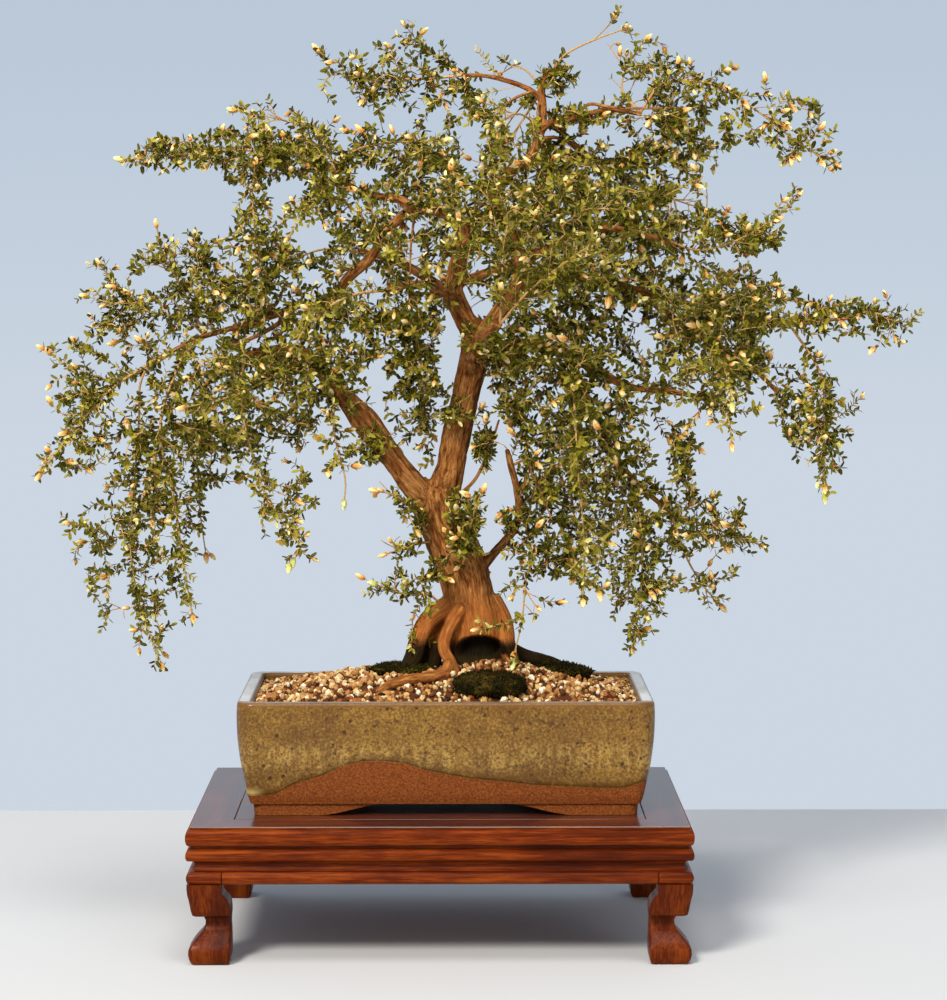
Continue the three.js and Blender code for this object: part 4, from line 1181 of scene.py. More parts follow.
# Every spray is one or more stems that leave the wood at one point, each a list of [across, down, depth].
SPRAYS: dict[str, list[Route]] = {
    "left_curtain_outer": [
        [
            (150, 362, 16), (140, 385, 24), (139, 420, 28), (133, 500, 20), (130, 545, 14), (140, 605, 6),
            (162, 666, 0),
        ],
    ],
    "left_curtain_mid": [
        [(196, 340, 8), (176, 372, -30), (160, 430, -44), (174, 500, -52), (183, 560, -56), (193, 618, -60)],
    ],
    "left_curtain_inner": [
        [(224, 360, 14), (206, 390, 50), (198, 440, 66), (199, 500, 70), (206, 556, 72)],
    ],
    "left_tip_high": [
        [(176, 350, 12), (140, 372, 56), (100, 380, 80), (72, 370, 96), (49, 352, 108)],
    ],
    "left_tip_low": [
        [(160, 357, 13), (110, 390, -12), (76, 428, -30), (39, 476, -46)],
    ],
    "left_rise": [
        [(205, 336, 9), (184, 318, 20), (150, 312, 34), (118, 288, 48), (99, 263, 56)],
        [(205, 336, 9), (184, 292, -16), (164, 256, -34), (156, 224, -44)],
        [(205, 336, 9), (214, 292, 24), (206, 262, 34), (197, 237, 42)],
    ],
    "left_hook": [
        [(246, 354, 7), (240, 400, -46), (262, 486, -66), (284, 524, -74), (299, 543, -80), (293, 563, -84)],
    ],
    "left_pad_front": [
        [(303, 352, -14), (270, 378, -80), (226, 398, -122), (182, 408, -140)],
    ],
    "left_pad_back": [
        [(290, 350, -6), (262, 362, 70), (216, 372, 128), (172, 384, 162)],
    ],
    "left_inner_drop": [
        [(335, 386, -20), (334, 430, -44), (345, 478, -60), (344, 503, -66)],
        [(335, 386, -20), (306, 408, 20), (298, 448, 40)],
    ],
    "upper_left_tip": [
        [(266, 150, 6), (215, 151, -4), (168, 156, -14), (124, 160, -20)],
        [(266, 150, 6), (252, 190, -30), (258, 240, -46), (262, 298, -56)],
    ],
    "upper_left_crest": [
        [(336, 174, 8), (320, 134, 34), (282, 120, 52), (234, 110, 64)],
        [(336, 174, 8), (356, 150, -26), (398, 142, -44), (442, 143, -56)],
    ],
    "upper_left_front": [
        [(318, 160, 12), (322, 190, -50), (306, 212, -90), (286, 240, -112)],
    ],
    "hanging_twigs": [
        [(404, 214, -18), (400, 240, 12), (408, 285, 26), (414, 345, 22), (425, 420, 14)],
    ],
    "crown_left": [
        [(464, 75, 18), (420, 79, 22), (372, 77, 26), (335, 72, 28), (317, 50, 26)],
        [(464, 75, 18), (444, 62, 40), (422, 48, 54), (404, 42, 62)],
        [(464, 75, 18), (468, 102, -20), (484, 122, -40), (498, 138, -52)],
    ],
    "crown_peak": [
        [(552, 72, 4), (566, 54, -16), (594, 40, -30), (627, 28, -40)],
    ],
    "crown_back": [
        [(542, 90, 3), (530, 74, 80), (516, 66, 140), (500, 74, 192)],
        [(542, 90, 3), (524, 104, 58), (508, 124, 96), (496, 148, 118)],
        [(542, 90, 3), (520, 124, 42), (498, 156, 58), (480, 188, 64)],
    ],
    "crown_front": [
        [(540, 132, -3), (528, 118, -70), (514, 114, -130), (498, 124, -182)],
        [(540, 132, -3), (548, 156, -44), (546, 182, -72), (538, 208, -92)],
    ],
    "crown_right": [
        [(640, 113, -24), (664, 84, -30), (712, 84, -36), (756, 110, -40), (800, 144, -44), (838, 165, -46)],
        [(640, 113, -24), (622, 88, 10), (632, 58, 30), (648, 38, 42)],
    ],
    "crown_right_hang": [
        [(646, 150, 34), (680, 157, 60), (712, 147, 78)],
        [(646, 150, 34), (672, 194, 20), (678, 226, 14), (682, 260, 8)],
    ],
    "right_high_tip": [
        [(668, 241, -29), (700, 250, -50), (742, 238, -66), (782, 212, -78), (800, 194, -84)],
    ],
    "right_high_back": [
        [(600, 161, 24), (640, 186, 90), (688, 204, 150), (724, 214, 196)],
        [(600, 161, 24), (614, 196, 70), (614, 224, 108), (606, 254, 134)],
    ],
    "right_high_front": [
        [(612, 229, -23), (640, 206, -80), (664, 196, -120), (700, 178, -150)],
    ],
    "right_tip": [
        [(846, 318, 2), (868, 312, -6), (886, 318, -12), (896, 340, -16)],
    ],
    "right_low_tip": [
        [(790, 325, 9), (820, 372, -18), (824, 410, -26), (824, 462, -32), (825, 496, -36)],
    ],
    "low_right_end": [
        [(690, 395, -23), (712, 400, -60), (728, 418, -84), (732, 446, -98)],
    ],
    "front_left_end": [
        [(388, 290, -121), (350, 296, -146), (314, 318, -160), (290, 352, -168)],
    ],
    "back_left_end": [
        [(362, 251, 130), (320, 250, 158), (282, 268, 178), (252, 300, 188)],
        [(362, 251, 130), (380, 230, 150), (412, 216, 156), (444, 208, 158)],
    ],
    "right_mid": [
        [(770, 384, -11), (798, 402, 20), (822, 428, 44), (835, 467, 56)],
    ],
    "right_front": [
        [(700, 335, 0), (718, 356, -70), (728, 380, -112), (732, 406, -136)],
    ],
    "right_back": [
        [(690, 305, 19), (720, 300, 90), (762, 300, 142), (802, 300, 178)],
    ],
    "lower_right": [
        [(670, 512, 16), (712, 528, 10), (764, 546, 2)],
        [(670, 512, 16), (686, 556, 40), (702, 584, 50), (722, 607, 56)],
    ],
    "lower_right_curtain": [
        [(632, 477, 11), (640, 520, -26), (642, 580, -42), (633, 651, -52)],
    ],
    "centre_curtain_front": [
        [(570, 357, -15), (574, 400, -84), (578, 470, -112), (584, 540, -120), (583, 600, -122)],
    ],
    "centre_curtain_back": [
        [(576, 376, -10), (584, 400, 70), (574, 456, 118), (562, 530, 134)],
    ],
    "trunk_right_hang": [
        [(478, 556, -14), (534, 545, -34), (526, 580, -44), (522, 620, -48), (514, 655, -50)],
    ],
    "trunk_left_low": [
        [(432, 596, -12), (402, 593, -26), (374, 584, -36)],
    ],
    "trunk_left_mid": [
        [(432, 541, -10), (410, 546, -20), (384, 555, -30)],
        [(432, 541, -10), (412, 510, -36), (396, 496, -50), (376, 491, -58)],
    ],
    "trunk_front": [
        [(462, 566, -20), (470, 530, -56), (476, 506, -70), (484, 489, -78)],
    ],
    "centre_front": [
        [(500, 324, -122), (530, 290, -150), (566, 262, -176), (598, 240, -196)],
        [(500, 324, -122), (502, 284, -140), (504, 244, -140), (512, 208, -136)],
    ],
    "centre_back": [
        [(548, 288, 178), (568, 250, 200), (590, 226, 216), (622, 214, 226)],
        [(548, 288, 178), (544, 252, 164), (530, 220, 148), (514, 192, 140)],
    ],
}

# Where shoots end in a bud, as they are seen, by the part of the crown.
BUD_PLACES: dict[str, list[tuple[float, float]]] = {
    "left_curtain": [
        (163, 667), (88, 470), (67, 523), (82, 542), (76, 562), (104, 577), (107, 595), (126, 608),
        (156, 599), (157, 614), (134, 630), (162, 627), (138, 640), (139, 652), (172, 497), (193, 620),
        (212, 556), (156, 561),
    ],
    "left_tip": [
        (42, 348), (52, 347), (74, 340), (95, 325), (109, 326), (127, 350), (49, 387), (50, 401), (64, 433),
        (48, 450), (44, 462), (42, 470), (37, 478), (71, 462),
    ],
    "left_rise": [
        (99, 262), (116, 268), (110, 280), (113, 287), (127, 292), (142, 300), (103, 306), (166, 307),
        (148, 335), (156, 222), (150, 247), (166, 248), (174, 252), (184, 283), (193, 252), (193, 268),
        (206, 265), (196, 235), (220, 240), (238, 250),
    ],
    "left_hook": [
        (287, 490), (299, 502), (264, 513), (299, 521), (307, 535), (281, 542), (316, 560), (281, 430),
        (298, 450), (318, 438), (344, 503), (328, 473), (355, 466),
    ],
    "upper_left": [
        (122, 160), (148, 147), (164, 143), (190, 138), (214, 138), (222, 130), (232, 135), (157, 163),
        (163, 172), (182, 166), (202, 168), (225, 166), (243, 165), (257, 167), (233, 110), (245, 108),
        (252, 116), (288, 114), (262, 130), (320, 135), (245, 195), (246, 216), (254, 212), (250, 238),
        (268, 203), (257, 272), (292, 200), (285, 212), (340, 220), (325, 227), (368, 208), (373, 218),
        (363, 222), (353, 133), (361, 130), (375, 138), (392, 130), (409, 137), (445, 140), (420, 165),
        (415, 185), (431, 108), (447, 108), (418, 122), (455, 165), (468, 158),
    ],
    "crown_left": [
        (317, 50), (387, 84), (400, 62), (405, 42), (423, 32), (353, 57), (345, 130), (362, 102),
        (480, 100), (490, 130), (453, 70), (498, 138), (336, 120), (330, 62),
    ],
    "crown_right": [
        (627, 27), (648, 38), (619, 44), (620, 52), (665, 50), (650, 68), (690, 62), (700, 75), (727, 70),
        (735, 68), (726, 88), (765, 78), (769, 95), (801, 103), (822, 127), (825, 140), (832, 152),
        (798, 158), (822, 162), (832, 170), (838, 166), (685, 110), (631, 133), (648, 140), (712, 146),
        (695, 168), (713, 170), (728, 209), (800, 193), (785, 200), (748, 228), (728, 235), (745, 270),
        (722, 280), (652, 208), (602, 250),
    ],
    "right": [
        (875, 300), (885, 294), (817, 305), (785, 300), (768, 305), (805, 312), (903, 342), (873, 350),
        (826, 382), (863, 395), (825, 490), (808, 386), (832, 402), (836, 443), (835, 468), (790, 432),
        (815, 458), (712, 404), (730, 405), (668, 350), (657, 338), (655, 411), (686, 428), (697, 416),
        (710, 422), (670, 441), (682, 450), (693, 472), (692, 490), (713, 495), (624, 375),
    ],
    "lower_right": [
        (765, 547), (715, 512), (714, 520), (738, 515), (733, 528), (727, 548), (706, 538), (722, 608),
        (675, 577), (692, 590), (702, 598), (710, 563), (713, 587), (632, 652), (648, 618), (633, 618),
        (640, 540), (652, 565), (684, 590), (583, 602), (600, 595), (607, 585), (562, 602),
    ],
    "trunk": [
        (375, 495), (380, 490), (383, 555), (390, 540), (372, 583), (413, 618), (421, 655), (513, 665),
        (525, 592), (467, 495), (483, 490), (457, 568), (484, 577), (476, 630), (397, 290), (430, 315),
        (428, 355), (404, 415), (418, 428), (434, 437), (455, 410),
    ],
}

# Pale green shoots that haven't opened.
PALE_PLACES: list[tuple[float, float]] = [
    (122, 160), (344, 503), (289, 566), (825, 490), (836, 443), (712, 404), (730, 405), (648, 618),
    (372, 583), (421, 655), (513, 665), (445, 140), (368, 208), (196, 235),
]


@dataclass(frozen=True)
class Clump:
    """A mass of shoots: its middle as it is seen, its half sizes and how many shoots end in it."""

    middle: Place  # across, down, depth
    half: Place
    shoots: int


CLUMPS: dict[str, Clump] = {
    "left_pad": Clump((240, 380, 0), (98, 78, 120), 230),
    "left_shoulder": Clump((120, 325, 50), (62, 42, 50), 56),
    "left_fringe": Clump((110, 440, -10), (62, 60, 60), 60),
    "left_strands": Clump((140, 540, 20), (60, 110, 60), 90),
    "left_drops": Clump((215, 500, 10), (45, 60, 70), 34),
    "hook": Clump((285, 500, -50), (36, 52, 45), 30),
    "left_bridge": Clump((330, 345, -10), (62, 55, 80), 60),
    "left_rise": Clump((190, 275, 10), (70, 42, 60), 70),
    "upper_left": Clump((272, 152, 10), (80, 40, 70), 120),
    "upper_left_end": Clump((178, 154, -10), (55, 20, 35), 34),
    "upper_left_drops": Clump((262, 240, -30), (30, 60, 60), 44),
    "upper_middle": Clump((395, 165, 0), (62, 45, 80), 80),
    "crown_left": Clump((395, 82, 30), (78, 38, 50), 60),
    "crown_middle": Clump((478, 132, 0), (40, 40, 120), 18),
    "crown_front_back": Clump((530, 170, 0), (70, 40, 185), 56),
    "crown_right": Clump((655, 95, -10), (78, 46, 60), 95),
    "crown_right_end": Clump((775, 130, -35), (66, 36, 35), 56),
    "heart": Clump((560, 225, 0), (86, 78, 160), 300),
    "heart_left": Clump((470, 200, 20), (40, 70, 110), 60),
    "right_high": Clump((680, 215, 0), (66, 40, 130), 70),
    "right_arm": Clump((715, 305, 10), (95, 46, 130), 200),
    "right_end": Clump((835, 318, 0), (66, 22, 35), 50),
    "right_fringe": Clump((810, 420, 0), (40, 72, 60), 70),
    "right_skirt": Clump((705, 365, -20), (70, 46, 110), 110),
    "curtain": Clump((575, 400, 0), (78, 110, 120), 280),
    "curtain_low": Clump((605, 530, 0), (70, 62, 110), 90),
    "lower_right": Clump((690, 530, 20), (66, 56, 60), 90),
    "lower_tip": Clump((640, 600, -30), (30, 48, 40), 36),
    "centre_left": Clump((415, 380, 0), (34, 92, 60), 70),
    "trunk_front": Clump((466, 530, -52), (24, 34, 18), 26),
    "trunk_left": Clump((395, 545, -35), (36, 62, 26), 34),
    "trunk_right": Clump((520, 590, -40), (22, 60, 22), 14),
    "back": Clump((520, 250, 150), (190, 90, 55), 130),
    "front": Clump((500, 240, -140), (190, 80, 50), 90),
    "upper_left_low": Clump((292, 168, -20), (64, 30, 40), 60),
    "left_bridge_front": Clump((305, 262, -36), (50, 38, 30), 60),
    "left_arm_front": Clump((330, 318, -44), (50, 34, 20), 60),
    "middle_left": Clump((415, 285, -10), (44, 60, 50), 60),
    "left_middle": Clump((330, 385, -46), (48, 40, 24), 60),
    "centre_column": Clump((425, 375, -20), (30, 44, 40), 44),
    "arm_front": Clump((600, 285, -20), (76, 26, 26), 80),
    "arm_front_right": Clump((720, 322, -14), (64, 26, 24), 60),
    "low_limb_front": Clump((560, 352, -44), (62, 26, 22), 60),
    "curtain_front": Clump((612, 455, -30), (52, 64, 24), 90),
    "curtain_left": Clump((548, 470, -10), (34, 70, 50), 70),
    "leader_front": Clump((508, 215, -26), (36, 44, 18), 40),
    "upper_arm_front": Clump((432, 205, -34), (34, 16, 14), 14),
    "right_shoulder": Clump((590, 170, 10), (60, 40, 50), 50),
    "trunk_veil": Clump((458, 412, -26), (20, 20, 8), 14),
    "trunk_veil_low": Clump((464, 520, -36), (24, 36, 12), 34),
    "trunk_side": Clump((512, 378, -10), (22, 50, 44), 60),
    "twig_veil": Clump((480, 450, -16), (10, 28, 10), 16),
    "fork_front": Clump((484, 338, -60), (26, 22, 20), 24),
    "snag_right": Clump((540, 500, 10), (20, 60, 40), 40),
    "upper_left_right": Clump((340, 198, -20), (44, 20, 30), 40),
    "right_nook": Clump((752, 238, 0), (34, 20, 30), 50),
    "crown_right_low": Clump((682, 138, -10), (28, 38, 28), 60),
    "crown_nook": Clump((556, 80, 0), (22, 18, 22), 24),
    "left_low_edge": Clump((80, 398, -10), (24, 22, 24), 26),
    "left_pad_low": Clump((200, 440, 0), (62, 24, 60), 90),
    "base_right": Clump((520, 522, -20), (22, 22, 24), 26),
    "curtain_middle": Clump((560, 560, -10), (24, 24, 30), 30),
    "right_strands": Clump((684, 460, 0), (22, 38, 26), 50),
    "left_nook": Clump((370, 358, -30), (34, 22, 30), 30),
    "trunk_edge": Clump((494, 348, -14), (14, 38, 24), 30),
    "trunk_edge_low": Clump((486, 436, -10), (14, 34, 16), 18),
    "left_core": Clump((242, 300, -10), (50, 30, 60), 80),
    "bridge_core": Clump((400, 322, -20), (50, 18, 30), 50),
    "arm_core": Clump((560, 324, -10), (62, 18, 40), 60),
    "left_tail": Clump((160, 492, 0), (22, 34, 40), 40),
    "middle_tail": Clump((370, 444, -30), (30, 22, 20), 30),
    "trunk_low_left": Clump((436, 588, -48), (16, 34, 14), 22),
    "upper_knot": Clump((438, 158, 0), (18, 18, 40), 24),
    "crown_knot": Clump((640, 160, 0), (20, 20, 40), 30),
    "crown_inner": Clump((575, 118, 0), (34, 16, 40), 36),
    "right_knot": Clump((648, 240, 0), (34, 22, 50), 44),
    "right_middle": Clump((756, 358, 0), (22, 20, 40), 30),
    "upper_left_inner": Clump((362, 236, -30), (40, 20, 30), 40),
}


@dataclass(frozen=True)
class Gap:
    """A gap in the crown, as it is seen, that the sky shows through."""

    across: float
    down: float
    half_across: float
    half_down: float

    def holds(self, seen: np.ndarray) -> np.ndarray:
        """Whether places, as they are seen, lie in the gap."""
        across = (seen[:, 0] - self.across) / self.half_across
        down = (seen[:, 1] - self.down) / self.half_down
        return np.hypot(across, down) < 1


GAPS = [
    Gap(288, 190, 20, 11), Gap(312, 240, 20, 14), Gap(368, 176, 15, 10), Gap(376, 376, 12, 16),
    Gap(415, 262, 7, 20), Gap(483, 310, 12, 10), Gap(447, 364, 11, 26), Gap(498, 487, 15, 24),
    Gap(499, 446, 5, 8), Gap(355, 530, 44, 60), Gap(230, 590, 32, 110), Gap(662, 446, 9, 12),
    Gap(200, 215, 26, 16), Gap(560, 40, 40, 14), Gap(720, 470, 30, 24), Gap(590, 92, 14, 10),
    Gap(770, 480, 26, 50), Gap(100, 230, 60, 26), Gap(860, 240, 50, 40), Gap(445, 600, 14, 20),
    Gap(560, 640, 40, 26), Gap(800, 248, 18, 16), Gap(740, 178, 24, 18), Gap(620, 88, 30, 8),
    Gap(481, 420, 4, 8), Gap(518, 82, 20, 17), Gap(518, 118, 15, 16), Gap(474, 134, 8, 12),
    Gap(602, 50, 23, 28), Gap(398, 120, 18, 15), Gap(720, 198, 18, 14), Gap(760, 160, 20, 16),
    Gap(122, 448, 8, 10), Gap(84, 486, 16, 14), Gap(278, 474, 10, 10), Gap(122, 602, 13, 16),
    Gap(702, 562, 13, 13), Gap(522, 642, 12, 10), Gap(158, 276, 14, 13), Gap(470, 160, 10, 12),
    Gap(640, 110, 10, 10), Gap(762, 116, 8, 10), Gap(800, 118, 10, 10), Gap(684, 200, 12, 12),
    Gap(76, 320, 15, 14), Gap(800, 276, 14, 12), Gap(800, 486, 12, 24), Gap(526, 600, 12, 14),
    Gap(682, 564, 8, 8), Gap(724, 560, 9, 9), Gap(756, 516, 14, 14), Gap(280, 118, 11, 9),
]


class Ending(Enum):
    """What a shoot ends in."""

    LEAVES = 0
    BUD = 1
    PALE_BUD = 2


@dataclass
class Shoot:
    """A leafy twig."""

    route: np.ndarray
    thickness: tuple[float, float]  # the radii at its two ends
    bare: float  # the share of it without leaves
    owner: int  # the spray it belongs to
    ending: Ending = Ending.LEAVES
    tint: float = 0.35


class Network:
    """Places on the wood and the shoots that a new shoot may grow from."""

    room = 120000
    too_close = 9 * MM
    turning = 0.35  # how much a foot counts for more where a shoot needn't turn back

    def __init__(self) -> None:
        """Makes room for places."""
        self.places = np.zeros((self.room, 3))
        self.directions = np.zeros((self.room, 3))
        self.seen = np.zeros((self.room, 3))
        self.owners = np.zeros(self.room, int)
        self.count = 0

    def add(self, route: np.ndarray, owner: int) -> None:
        """Adds the places of a route that belongs to a spray."""
        span = slice(self.count, self.count + len(route))
        self.places[span] = route
        self.directions[span] = frames_along(route)[0]
        self.seen[span] = SIGHT.picture(route)
        self.owners[span] = owner
        self.count += len(route)

    def foot_for(self, target: np.ndarray) -> int:
        """The place that a shoot to the target starts from, near it and on the way out."""
        away = target - self.places[: self.count]
        gap = np.linalg.norm(away, axis=1) + 1e-9
        ahead = np.sum(away * self.directions[: self.count], axis=1) / gap
        worse = gap * (1 + self.turning - self.turning * ahead)
        return int(np.argmin(worse + np.where(gap < self.too_close, 1.0, 0.0)))

    def depth_at(self, across: float, down: float) -> float:
        """The depth of the place that is seen nearest to a point of the picture."""
        seen = self.seen[: self.count]
        return float(seen[np.argmin(np.hypot(seen[:, 0] - across, seen[:, 1] - down)), 2])


@dataclass
class Foliage:
    """The leafy sprays, one piece for each of the model's sprays."""

    leaf: LeafFinish = field(default_factory=LeafFinish)
    bud: BudFinish = field(default_factory=BudFinish)
    twig: TwigFinish = field(default_factory=TwigFinish)
    leaf_length: float = 7.8 * MM
    leaf_width: float = 3.6 * MM
    leaf_fold: float = 0.28
    leaf_curl: float = 0.12
    bud_length: float = 10.6 * MM
    bud_width: float = 6.3 * MM
    pair_spacing: float = 3.6 * MM
    side_spacing: float = 9.0 * MM
    fullness: float = 1.9  # shoots for each one that a clump asks for
    thin_limb: float = 3.3 * MM  # limbs under this radius bear shoots
    bearing_limb: float = 9 * MM  # shoots start from limbs under this radius
    longest: float = 130 * MM
    long_enough: float = 24 * MM  # for side shoots
    model_twig_spacing: float = 170 * MM
    model_twig_length: float = 27 * MM
    twig_bud_share: float = 0.4  # of the twigs that end in a bud
    clump_bud_share: float = 0.12
    side_bud_share: float = 0.02
    stem_radii: tuple[float, float] = (1.25 * MM, 0.6 * MM)
    twig_radii: tuple[float, float] = (0.8 * MM, 0.5 * MM)
    side_radii: tuple[float, float] = (0.6 * MM, 0.38 * MM)
    bud_sunk: float = 4 * MM
    bud_depths: tuple[float, float] = (-14, 14)  # millimetres from the nearest shoot
    crowding: float = 2.4  # 3 spreads a clump's shoots evenly, and less crowds them inwards
    leaf_angles: tuple[float, float] = (70, 30)  # degrees from the shoot, and how many fewer at its end
    leaf_sizes: tuple[float, float] = (0.72, 1.12)
    golden: float = 2.399963  # radians

    def build(self) -> list[bpy.types.Object]:
        """Grows and dresses every spray.

        Returns:
            A piece for each spray, in the order of SPRAYS.
        """
        self.random = np.random.default_rng(7)
        self.wood = np.vstack(list(Wood().routes(LIMBS, 4 * MM).values()))
        self.network = Network()
        self.shoots: list[Shoot] = []
        self._add_stems()
        self._add_from_limbs()
        self._add_to_buds()
        self._fill_clumps()
        tree = self._tree()
        return [self._piece(tree, owner, name) for owner, name in enumerate(SPRAYS)]

    def _add_stems(self) -> None:
        """Adds each spray's stems and the side twigs that the model has."""
        for owner, stems in enumerate(SPRAYS.values()):
            for s, corners in enumerate(stems):
                straight = np.array([SIGHT.seen(*corner) for corner in corners])
                route = smooth_route(led_in(straight, self.wood), 5 * MM)
                ending = self._ending_at(route[-1])
                self._add(Shoot(route, self.stem_radii, 0.12, owner, ending), sides=True)
                for side in self._model_twigs(straight, 31 * owner + 17 * s):
                    budded = chance(len(self.shoots), 4) < self.twig_bud_share
                    ending = Ending.BUD if budded else Ending.LEAVES
                    self._add(Shoot(side, self.twig_radii, 0.1, owner, ending), sides=True)

    def _model_twigs(self, stem: np.ndarray, seed: int) -> list[np.ndarray]:
        """The side twigs that the model's spray has on a stem, by the same rule.

        Args:
            stem: the stem's corners.
            seed: the number the model's rule is given.

        Returns:
            The twigs' routes.
        """
        length = lengths_along(stem)[-1]
        count = max(1, round(length / self.model_twig_spacing))
        found = []
        for n in range(count):
            at = (0.34 + 0.54 * (n + 0.5) / count) * length
            foot = at_length(stem, at)
            ahead = unit(at_length(stem, min(at + 8 * MM, length)) - foot)
            around = TURN * chance(n, seed + 1) + 2.4 * n
            out = np.array([math.cos(around), math.sin(around), 0.25])
            out = unit(out + ahead * (0.9 - out @ ahead))
            reach = self.model_twig_length * (0.8 + 0.5 * chance(n, seed + 2))
            end = foot + out * reach + np.array([0, 0, 0.12 * reach])
            found.append(smooth_route(np.array([foot, foot + out * reach * 0.5, end]), 5 * MM))
        return found

    def _add_from_limbs(self) -> None:
        """Adds short shoots on the thin limbs, and the limbs to the network."""
        stems = np.vstack([self.network.places[: self.network.count]])
        owners = self.network.owners[: self.network.count].copy()
        for n, route in enumerate(Wood().routes(LIMBS, 6 * MM).values()):
            thin = route[:, 3] < self.thin_limb
            nearest = [int(owners[np.argmin(np.linalg.norm(stems - p, axis=1))]) for p in route[:, :3]]
            bearing = route[:, 3] < self.bearing_limb
            if len(route) > 3 and bearing.any() and "root" not in list(LIMBS)[n]:
                self.network.add(route[bearing][:, :3], nearest[-1])
            for k in np.flatnonzero(thin)[::2]:
                if k + 1 < len(route):
                    ahead = route[k + 1, :3] - route[k, :3]
                    self._side(route[k, :3], ahead, k + 40 * n, self.long_enough, nearest[k])

    def _add_to_buds(self) -> None:
        """Grows a shoot to every bud of the list."""
        places = [(place, Ending.BUD) for listed in BUD_PLACES.values() for place in listed]
        places += [(place, Ending.PALE_BUD) for place in PALE_PLACES]
        targets = []
        for (across, down), ending in places:
            depth = self.network.depth_at(across, down) + self.random.uniform(*self.bud_depths)
            targets.append((SIGHT.seen(across, down, depth), ending))
        self._grow_all(targets)

    def _fill_clumps(self) -> None:
        """Grows the shoots that fill the clumps and stay out of the gaps."""
        targets = []
        for clump in CLUMPS.values():
            count = round(clump.shoots * self.fullness)
            made = self.random.normal(size=(count, 3))
            made = made / np.linalg.norm(made, axis=1, keepdims=True)
            made = made * self.random.uniform(size=(count, 1)) ** (1 / self.crowding)
            seen = np.array(clump.middle) + made * np.array(clump.half)
            clear = ~np.any([gap.holds(seen) for gap in GAPS], axis=0)
            for row in seen[clear]:
                ending = Ending.BUD if self.random.uniform() < self.clump_bud_share else Ending.LEAVES
                targets.append((SIGHT.seen(*row), ending))
        self._grow_all(targets)

    def _grow_all(self, targets: list[tuple[np.ndarray, Ending]]) -> None:
        """Grows shoots to targets, the nearest first, each from what has grown before."""
        network = self.network
        grown = network.places[: network.count]
        gaps = [np.linalg.norm(grown - target, axis=1).min() for target, _ in targets]
        for n in np.argsort(gaps):
            target, ending = targets[n]
            foot = network.foot_for(target)
            start, ahead = network.places[foot].copy(), network.directions[foot]
            reach = np.linalg.norm(target - start)
            if reach > self.longest:
                continue
            bend = start + (0.55 * ahead + 0.45 * (target - start) / reach) * reach * 0.5
            bend[2] += 0.08 * reach
            route = bent_route(start, bend, target, max(4, round(reach / (6 * MM)) + 1))
            thick = 0.58 * MM + min(reach, 80 * MM) * 0.006
            shoot = Shoot(route, (thick, 0.4 * MM), 0.08, int(network.owners[foot]), ending)
            self._add(shoot, sides=reach > self.long_enough)

    def _add(self, shoot: Shoot, sides: bool = False) -> None:
        """Adds a shoot, and short shoots along it if asked."""
        shoot.tint = 0.1 + 0.54 * self.random.uniform()
        self.shoots.append(shoot)
        self.network.add(shoot.route, shoot.owner)
        if not sides:
            return
        lengths = lengths_along(shoot.route)
        at = lengths[-1] * 0.2
        while at < lengths[-1] - 6 * MM:
            k = min(int(np.searchsorted(lengths, at)), len(lengths) - 2)
            foot = at_length(shoot.route, at)
            ahead = shoot.route[k + 1] - shoot.route[k]
            share = at / lengths[-1]
            self._side(foot, ahead, len(self.shoots), (19 - 8 * share) * MM, shoot.owner)
            at += self.side_spacing * self.random.uniform(0.8, 1.25)

    def _side(self, foot: np.ndarray, ahead: np.ndarray, n: int, reach: float, owner: int) -> None:
        """Adds one short shoot that leaves a stem at an angle.

        Args:
            foot: where it starts.
            ahead: the stem's direction.
            n: its number on the stem, which turns it round.
            reach: about how long it is.
            owner: the spray it belongs to.
        """
        ahead = unit(ahead)
        side = unit(np.cross(ahead, (0.0, 0.3, 1.0)))
        up = np.cross(side, ahead)
        angle = self.golden * n + self.random.uniform(-0.4, 0.4)
        out = side * math.cos(angle) + up * math.sin(angle)
        out = unit(out + ahead * 0.9 + np.array([0, 0, 0.15]))
        reach = reach * self.random.uniform(0.65, 1.3)
        end = foot + out * reach + ahead * reach * 0.2
        if any(gap.holds(SIGHT.picture(end))[0] for gap in GAPS):
            return
        route = bent_route(foot, foot + out * reach * 0.5, end, 4)
        ending = Ending.BUD if self.random.uniform() < self.side_bud_share else Ending.LEAVES
        shoot = Shoot(route, self.side_radii, 0.12, owner, ending)
        shoot.tint = 0.14 + 0.56 * self.random.uniform()
        self.shoots.append(shoot)
        self.network.add(route, owner)

    def _ending_at(self, place: np.ndarray) -> Ending:
        """Whether a stem that ends here ends in a pale bud."""
        seen = SIGHT.picture(place)[0]
        pale = any(math.hypot(seen[0] - x, seen[1] - y) < 6 for x, y in PALE_PLACES)
        return Ending.PALE_BUD if pale else Ending.BUD

